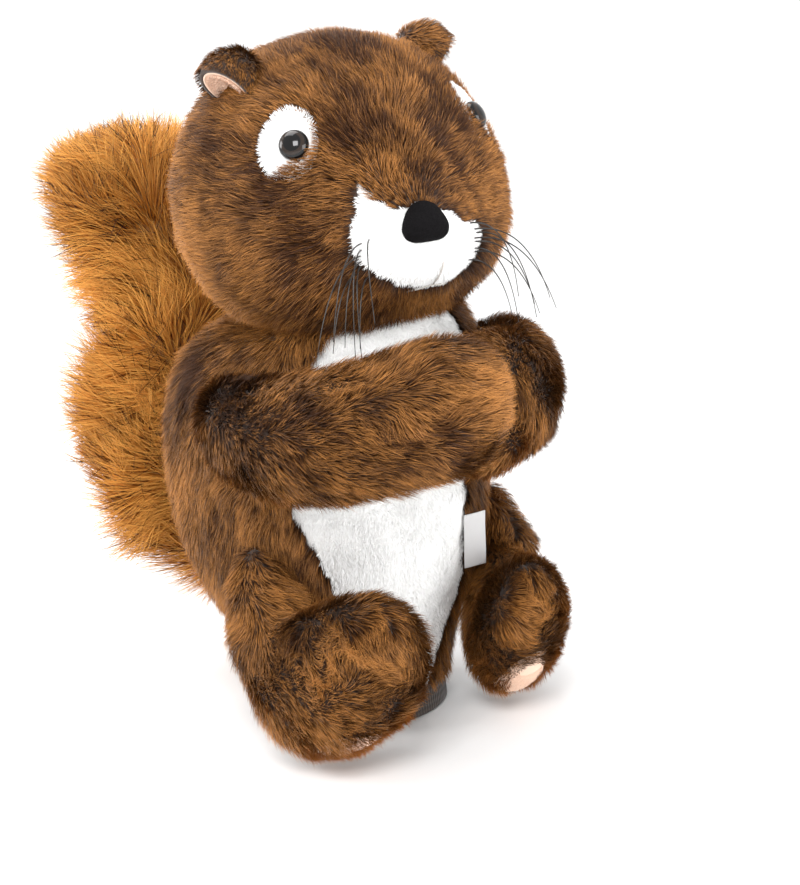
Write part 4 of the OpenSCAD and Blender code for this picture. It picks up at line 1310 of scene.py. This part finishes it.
class SQUIRREL_OT_face(MakeStep):
    """Eyes with their patches and washers, nose, mouth thread and whiskers"""
    bl_idname = "squirrel_cover.face"
    bl_label = "Face"

    def make(self, sizes, colours):
        """Makes each side's patch, eye and whiskers, then the middle pieces."""
        for name, side in SIDES.items():
            self.patch(name, side, sizes)
            self.eye(name, side)
            self.whiskers(name, side, sizes)
        self.nose()
        self.mouth()

    def patch(self, name, side, sizes):
        """A white patch over the eye's place, a disc of two angles lifted off the head, with white
        pile that stays clear of the eye."""
        def surface(f, t, depth):
            a, e = patch_place(f, t, side)
            return head(a, e, depth - SEAM_GAP - PATCH_T)
        patch = Patch(surface, np.linspace(0, 1, 16), np.linspace(0, 360, 61), thick=PATCH_T)
        eye = EYE_C * mirror(side) + 2.4 * EYE_OUT * mirror(side)

        def clear(f, t, p, rng):
            return ((np.linalg.norm(p - eye, axis=-1) > EYE_D / 2 + 0.2)
                    & (patch_share(*patch_place(f, t)) < 1.02))

        def length(f, t, p):
            apart = np.linalg.norm(p - eye, axis=-1)
            return np.clip((apart - EYE_D / 2 + 1.2) / 5, 0.25, 1)

        def radial(p, along, u):
            return unit(p - eye) + np.array([0, 0, -0.3])
        pile = pile_like(sizes, 1.9, sizes.white_length, 0.75, rise=58, bend=0.5, waver=0.3,
                         tuft=0.1, tuft_size=4)
        hair = grow(f"{name}_eye_patch_pile", patch, pile, radial, white_tone, 500 + side,
                    keep=clear, stretch=length)
        lay_cloth(f"{name}_eye_patch_cloth", patch, [hair], "plush", "backing",
                  f"{name}_eye_patch", "white_plush", 60,
                  white=lambda f, t, p: np.ones(f.shape), lumps=0.1)

    def eye(self, name, side):
        """A domed eye on a stalk and its washer, turned about the head's outward direction there:
        a quarter ellipse of height 0.62 of its radius, on a short rim."""
        turn = turned_to(EYE_OUT)
        t = np.linspace(0, 2 * np.pi, EYE_COLS)

        def round_piece(part, r, h, middle, uv=None):
            points = np.stack([np.outer(r, np.cos(t)), np.outer(r, np.sin(t)),
                               np.tile(h[:, None], (1, EYE_COLS))], -1)
            return mesh_piece(f"{name}_{part}", (points @ turn.T + middle) * mirror(side),
                              grid_faces(len(r), EYE_COLS), uv=uv, closed=True)
        full = EYE_D / 2
        q = np.linspace(0, np.pi / 2, 16)[:-1]
        r = np.concatenate([[0, 2.2, STALK_R, STALK_R, full - 0.5, full], full * np.cos(q), [0]])
        h = np.concatenate([[-13.8, -14, -13.6, 0.1, 0.1, 0.5], 0.8 + 0.62 * EYE_D / 2 * np.sin(q),
                            [0.8 + 0.62 * EYE_D / 2]])
        uv = np.stack([np.tile((0.01 + 0.98 * r / full)[:, None], (1, EYE_COLS)),
                       np.tile(map_line(EYE_COLS), (len(r), 1))], -1)
        seat_at = EYE_C + (SEAM_GAP + PATCH_T + 0.3) * EYE_OUT
        dome = round_piece("eye_dome", r, h, seat_at, uv)
        place(dome, "eye", f"{name}_eye", "black_eye")
        r = np.array([STALK_R, 7.2, 7.5, 7.5, 7.2, STALK_R, STALK_R])
        h = np.array([-0.8, -0.8, -0.5, 0.5, 0.8, 0.8, -0.8])
        washer = round_piece("eye_lock", r, h, EYE_C - 8 * EYE_OUT)
        place(washer, "washer", f"{name}_eye_washer", "washer_plastic")

    def nose(self):
        """A rounded three-cornered pad: its span is the half width times 1 + 0.10 sin t -
        0.09 sin 3t, and its profile a quarter ellipse; the face of it is roughened."""
        out = outward(head, NOSE_A, NOSE_E, 1)
        t, q = np.meshgrid(np.radians(np.linspace(0, 360, 97)), np.radians(np.linspace(0, 90, 34)))
        span = NOSE_W / 2 * (1 + 0.10 * np.sin(t) - 0.09 * np.sin(3 * t))
        f, h = np.cos(q), 9 * np.sin(q)
        dome = np.stack([f * span * np.cos(t), 0.86 * f * span * np.sin(t),
                         h - 0.012 * (f * span * np.cos(t)) ** 2], -1)
        base = np.zeros_like(dome[:1]) + np.array([0, 0, -0.1])
        points = np.concatenate([base, dome])
        turn = turned_to(out) @ np.array([[0, -1, 0], [1, 0, 0], [0, 0, 1.0]])
        points = points @ turn.T + spot(head, NOSE_A, NOSE_E) + 0.5 * out
        points = points + 0.22 * ripple(points, 2.4, 9)[..., None] * out
        obj = mesh_piece("nose_pad", points, grid_faces(*points.shape[:2]), closed=True)
        place(obj, "nose", "nose", "black_flock")

    def mouth(self):
        """Three runs of thread on the muzzle, joined into one piece; each is a tube on the
        head."""
        f = np.linspace(0, 1, 14)
        tubes = [tube(head(mix(a0, a1, f), mix(e0, e1, f), -1.0), np.full(len(f), 0.45), 8)
                 for a0, e0, a1, e1 in STITCHES]
        obj = bundle("mouth_thread", tubes, STITCH_CAP[:, ::-1], STITCH_CAP)
        place(obj, "thread", "mouth_stitch", "brown_thread")

    def whiskers(self, name, side, sizes):
        """Thin bristles that leave the muzzle's side and droop: the path is the root plus the
        length times ((0.60 + bow) f - 0.20 f^2, -0.50 f + 0.24 f^2, 0.05 f - droop f^2), and each
        tapers."""
        count = sizes.whisker_count
        pick = np.linspace(0, len(WHISKER_ROWS) - 1, count)
        rows = np.stack([np.interp(pick, np.arange(len(WHISKER_ROWS)), column)
                         for column in WHISKER_ROWS.T], -1)
        rng = np.random.default_rng(70 + side)
        f = np.linspace(0, 1, 22)
        tubes = []
        for k, (a, e, droop, share) in enumerate(rows):
            a, e = a + rng.uniform(-1.5, 1.5) - (5 if side > 0 else 0), e + rng.uniform(-1, 1)
            droop, share = droop + rng.uniform(-0.08, 0.03), share * rng.uniform(0.85, 1.0)
            bow = 0.42 * ((k * 5) % count / (count - 1) - 0.5)
            path = spot(head, a, e, -0.2) + share * WHISKER_L * np.stack([
                (0.60 + bow) * f - 0.20 * f**2, -0.50 * f + 0.24 * f**2,
                0.05 * f - droop * f**2], -1)
            tubes.append(tube(path, np.linspace(0.40, 0.18, len(f)), 6) * mirror(side))
        obj = bundle(f"{name}_whisker_bristles", tubes, [[0, 3, 2, 1], [0, 5, 4, 3]],
                     [[0, 1, 2, 3], [0, 3, 4, 5]])
        place(obj, "whisker", f"{name}_whiskers", "whisker_nylon")


EAR_SEAT_A, EAR_TURN, EAR_ARC = 82, -12, (65, 295)
EAR_WALL, LINING_WALL = 3, 2


class SQUIRREL_OT_ears(MakeStep):
    """Ears with their pile and peach linings"""
    bl_idname = "squirrel_cover.ears"
    bl_label = "Ears"

    def make(self, sizes, colours):
        """Each ear is most of a bowl, r sin q across and depth cos q deep, over 230 degrees round,
        opened outwards and down; the lining is a smaller one in it."""
        pile = pile_like(sizes, 1.4, 0.66 * sizes.brown_length, 0.9, rise=42, bend=0.4, waver=0.3,
                         tuft=0.2, tuft_size=5)
        fuzz = pile_like(sizes, 1.8, 1.6, 0.7, **SHORT_NAP)
        inset = EAR_WALL + SEAM_GAP
        t = np.linspace(*EAR_ARC, 41)
        for name, side in SIDES.items():
            patch = Patch(self.bowl(EAR_D / 2, EAR_CUP, EAR_WALL, side), np.linspace(1, 90, 22), t)
            hair = grow(f"{name}_ear_pile", patch, pile, to_rim, brown_tone(0.36), 520 + side,
                        stretch=lambda u, v, p: mix(1.0, 0.42, ramp(u, 45, 35)))
            lay_cloth(f"{name}_ear_cloth", patch, [hair], "plush", "backing", f"{name}_ear",
                      "brown_plush", 80, body=f"{name}_ear",
                      white=none_white, lumps=0.2)
            lining = self.bowl(EAR_D / 2 - inset, EAR_CUP - inset - 12, LINING_WALL, side)
            patch = Patch(lining, np.linspace(1, 90, 20), t)
            patch.outer, patch.inner, patch.normal = patch.inner, patch.outer, -patch.normal
            hair = grow(f"{name}_ear_fuzz", patch, fuzz, to_rim, peach_tone, 540 + side)
            lay_cloth(f"{name}_ear_lining_cloth", patch, [hair], "peach_pile", "peach",
                      f"{name}_ear_lining", "peach_velboa", 82,
                      body=f"{name}_ear", lumps=0.2)

    def bowl(self, radius, cup, wall, side):
        """The surface function of a bowl on the head's side, whose seat line lies a little into
        the seam."""
        turn = rotation(2, np.radians(EAR_TURN)) @ rotation(1, np.radians(90 + EAR_DROOP))
        rise = -EAR_D / 2 * np.cos(np.radians(115)) - EAR_SINK

        def surface(q, t, depth):
            q, t = np.radians(q), np.radians(t)
            k = np.clip(depth / SKIN_T, 0, 1) * wall
            r, h = (radius - k) * np.sin(q), -(cup - k) * np.cos(q)
            local = np.stack([r * np.cos(t) - rise, r * np.sin(t), h], -1)
            return (local @ turn.T + spot(head, EAR_SEAT_A, EAR_E)) * mirror(side)
        return surface


SOLE_U, SOLE_T, SOLE_SPAN = 6.2, 270, 40


def sole_share(u, t):
    """How far out from the middle of the sole a place on the leg is: 1 on a foot's wide rim."""
    turn = (t - SOLE_T + 180) % 360 - 180
    return np.hypot((u - SOLE_U) / 1.3, turn / SOLE_SPAN)


class SQUIRREL_OT_limbs(MakeStep):
    """Arms and legs with their pile, stuffing and soles"""
    bl_idname = "squirrel_cover.limbs"
    bl_label = "Limbs"

    def make(self, sizes, colours):
        """Each limb is an outer and an inner half, split at the seam angles."""
        for name, side in SIDES.items():
            self.limb(name, side, "arm", arm_rows(side), path_stations, (270, 90), sizes)
            self.limb(name, side, "leg", leg_rows(side), rail_stations, (-90, 90), sizes)
            self.sole(name, side, sizes)

    def limb(self, name, side, kind, rows, stations, starts, sizes):
        """The two halves of a limb, each 180 degrees round, and its stuffing."""
        pile = pile_like(sizes, 1, sizes.brown_length, 1, rise=50, bend=0.3, waver=0.75)
        surface = limb(rows, stations, side)
        last, leg = len(rows) - 1, kind == "leg"
        body = f"{name}_{kind}"
        bare_to = 6.8 if side > 0 else 5.4

        def keep(u, t, p, rng):
            bare = leg & (sole_share(u, t) < 0.55) & (u < bare_to)
            return (u > 0.15) & ~bare

        def length(u, t, p):
            share = mix(0.72, 1.0, np.clip((last - u) / 1.6, 0, 1)) * np.clip(0.3 + u / 1.2, 0.3, 1)
            return share * mix(0.75, 1.0, ramp(sole_share(u, t), 0.5, 0.3)) if leg else share

        def tone(u, t, p, rng):
            toes = ramp(u, last - 2.6, 2.6) if leg else 0.0
            # painted highlight: strands low on the feet are lightened towards tan
            low = ramp(p[:, 2], 42, -22) if leg else 0.0
            return limit_brown(brown_tone(0.29, 0.289)(u, t, p, rng) + 0.12 * toes + 0.34 * low
                               + (0.1 if side > 0 else 0))
        for k, (half, t0) in enumerate(zip(("outer", "inner"), starts)):
            patch = Patch(surface, np.linspace(0.02, last - 0.02, 76),
                          np.linspace(t0, t0 + 180, 40))
            seed = 600 + 40 * k + (side > 0) * 10 + leg * 100
            hair = grow(f"{body}_pile_{half}", patch, pile, out_along, tone, seed, keep=keep,
                        stretch=length)
            lay_cloth(f"{body}_cloth_{half}", patch, [hair], "plush", "backing",
                      f"{body}_{half}", "brown_plush", seed, body=body,
                      white=none_white)
        trim = 0.30 if leg else 0.33
        t = np.linspace(0, 360, 49)[:-1]
        rings = [surface(np.full(len(t), u), t, SKIN_T + PAD_GAP + 0.4)
                 for u in np.linspace(trim, last - trim, 46)]
        pad_piece(f"{body}_stuffing_fibre", rings, f"{body}_stuffing", body)

    def sole(self, name, side, sizes):
        """A peach patch on the under side of the foot: a disc whose places are limb
        coordinates. On the right foot it is shorter towards the toe, and only its heel end has
        fuzz."""
        under = limb(leg_rows(side), rail_stations, side)
        reach_back, fuzz_from = (1.05, -0.45) if side > 0 else (0.4, 0.6)

        def surface(f, t, depth):
            t = np.radians(t)
            reach = np.where(np.cos(t) < 0, reach_back, 1.3)
            return under(SOLE_U - reach * f * np.cos(t), SOLE_T + SOLE_SPAN * f * np.sin(t),
                         depth - PAD_GAP - 1.6)

        def keep(f, t, p, rng):
            return (f < 0.7) & (f * np.cos(np.radians(t)) > fuzz_from)
        patch = Patch(surface, np.linspace(0, 1, 18), np.linspace(0, 360, 61), thick=1.6)
        fuzz = pile_like(sizes, 1.7, 1.7, 0.7, **SHORT_NAP)
        hair = grow(f"{name}_sole_fuzz", patch, fuzz, down, peach_tone, 560 + side, keep=keep)
        lay_cloth(f"{name}_sole_cloth", patch, [hair], "peach_pile", "peach", f"{name}_sole",
                  "peach_velboa", 84, body=f"{name}_leg", lumps=0.15)


class SQUIRREL_OT_tail(MakeStep):
    """Tail cloth, its long pile and stuffing"""
    bl_idname = "squirrel_cover.tail"
    bl_label = "Tail"

    def make(self, sizes, colours):
        """A front and a back half between the rails, with long pile that stands out to the
        sides."""
        rows = tail_rows()
        surface, last = limb(rows, rail_stations), len(rows) - 1
        pile = pile_like(sizes, 0.46, sizes.tail_length, 1.25, rise=46, bend=0.35, waver=0.85,
                         tuft=0.55, tuft_size=12, droop=0.10, pairs=3, spread=(0.5, 1.3))
        guard = pile_like(sizes, 0.016, 1.15 * sizes.tail_length, 1, rise=52, bend=0.5, waver=1.2,
                          tuft=0.3, tuft_size=16, droop=0.05, pairs=4, spread=(0.7, 1.2))

        def nap(p, along, u):
            out = p[:, 0] - np.interp(u, np.arange(len(rows)), rows[:, 0])
            spread = np.stack([out, np.full(len(p), 12.0), np.zeros(len(p))], -1)
            return unit(along) * 0.75 + 0.55 * unit(spread) + np.array([0, 0, -0.15])

        def tone(u, t, p, rng):
            n = len(p)
            dark = bell(u, 7.7, 0.55) + 0.45 * bell(u, 9.4, 0.5)
            dark = dark * (0.75 + 0.6 * ripple(p, 30, 23)) - 0.35 * bell(u, 6.4, 0.6)
            base = 0.76 + 0.26 * ripple(p, 48, 21) + 0.30 * ripple(p, 13, 22) - 0.44 * dark
            base = np.clip(base + rng.normal(0, 0.16, n), 0.14, 0.98)
            black = rng.random(n) < 0.05 + 0.10 * np.clip(dark, 0, 1)
            return np.where(black, rng.uniform(0.02, 0.09, n), base)

        def length(u, t, p):
            x, y = p[:, 0], p[:, 1]
            share = np.clip((u - 0.2) / 1.6, 0.25, 1) * mix(0.62, 1.0, ramp(y, 60, 40))
            return share * mix(1.0, 0.5, ramp(y, 112, 32)) * mix(1.0, 0.85, ramp(x, -72, -20))
        for k, (half, t0) in enumerate((("front", 180), ("back", 0))):
            patch = Patch(surface, np.linspace(0.02, last - 0.02, 90),
                          np.linspace(t0, t0 + 180, 44), thick=TAIL_SKIN)
            hair = grow(f"tail_pile_{half}", patch, pile, nap, tone, 800 + 10 * k,
                        keep=lambda u, t, p, rng: u > 0.2, stretch=length)
            guards = grow(f"tail_guard_hairs_{half}", patch, guard, nap,
                          lambda u, t, p, rng: np.full(len(p), 0.05), 840 + 10 * k,
                          keep=lambda u, t, p, rng: u > 0.8, stretch=length)
            lay_cloth(f"tail_cloth_{half}", patch, [hair, guards], "tail", "tail_backing",
                      f"tail_{half}_panel", "tail_plush", 90 + k,
                      body="tail", lumps=1.0)
        t = np.linspace(0, 360, 55)[:-1]
        rings = [surface(np.full(len(t), u), t, TAIL_SKIN + PAD_GAP + 0.4)
                 for u in np.linspace(0.37, last - 0.37, 54)]
        pad_piece("tail_stuffing_fibre", rings, "tail_stuffing", "tail")


STEPS = (SQUIRREL_OT_stage, SQUIRREL_OT_finishes, SQUIRREL_OT_pocket, SQUIRREL_OT_body,
         SQUIRREL_OT_head, SQUIRREL_OT_face, SQUIRREL_OT_ears, SQUIRREL_OT_limbs,
         SQUIRREL_OT_tail)


class SQUIRREL_PT_cover(bpy.types.Panel):
    """Lists the steps and settings"""
    bl_idname = "SQUIRREL_PT_cover"
    bl_label = "Squirrel Cover"
    bl_space_type = "VIEW_3D"
    bl_region_type = "UI"
    bl_category = "Squirrel Cover"

    def draw(self, context):
        """Draws the settings, then a button for each step."""
        for group in (context.scene.squirrel_pile, context.scene.squirrel_colours):
            for name in group.__annotations__:
                self.layout.prop(group, name)
        for step in STEPS:
            self.layout.operator(step.bl_idname)


CLASSES = (SquirrelPileSettings, SquirrelColourSettings, *STEPS, SQUIRREL_PT_cover)


def register():
    """Registers the classes and puts both groups of settings on the scene."""
    for item in CLASSES:
        bpy.utils.register_class(item)
    bpy.types.Scene.squirrel_pile = PointerProperty(type=SquirrelPileSettings)
    bpy.types.Scene.squirrel_colours = PointerProperty(type=SquirrelColourSettings)


def unregister():
    """Takes the settings and classes away again."""
    del bpy.types.Scene.squirrel_pile, bpy.types.Scene.squirrel_colours
    for item in reversed(CLASSES):
        bpy.utils.unregister_class(item)


def main():
    register()
    for step in STEPS:
        group, name = step.bl_idname.split(".")
        getattr(getattr(bpy.ops, group), name)()


if __name__ == "__main__":
    main()
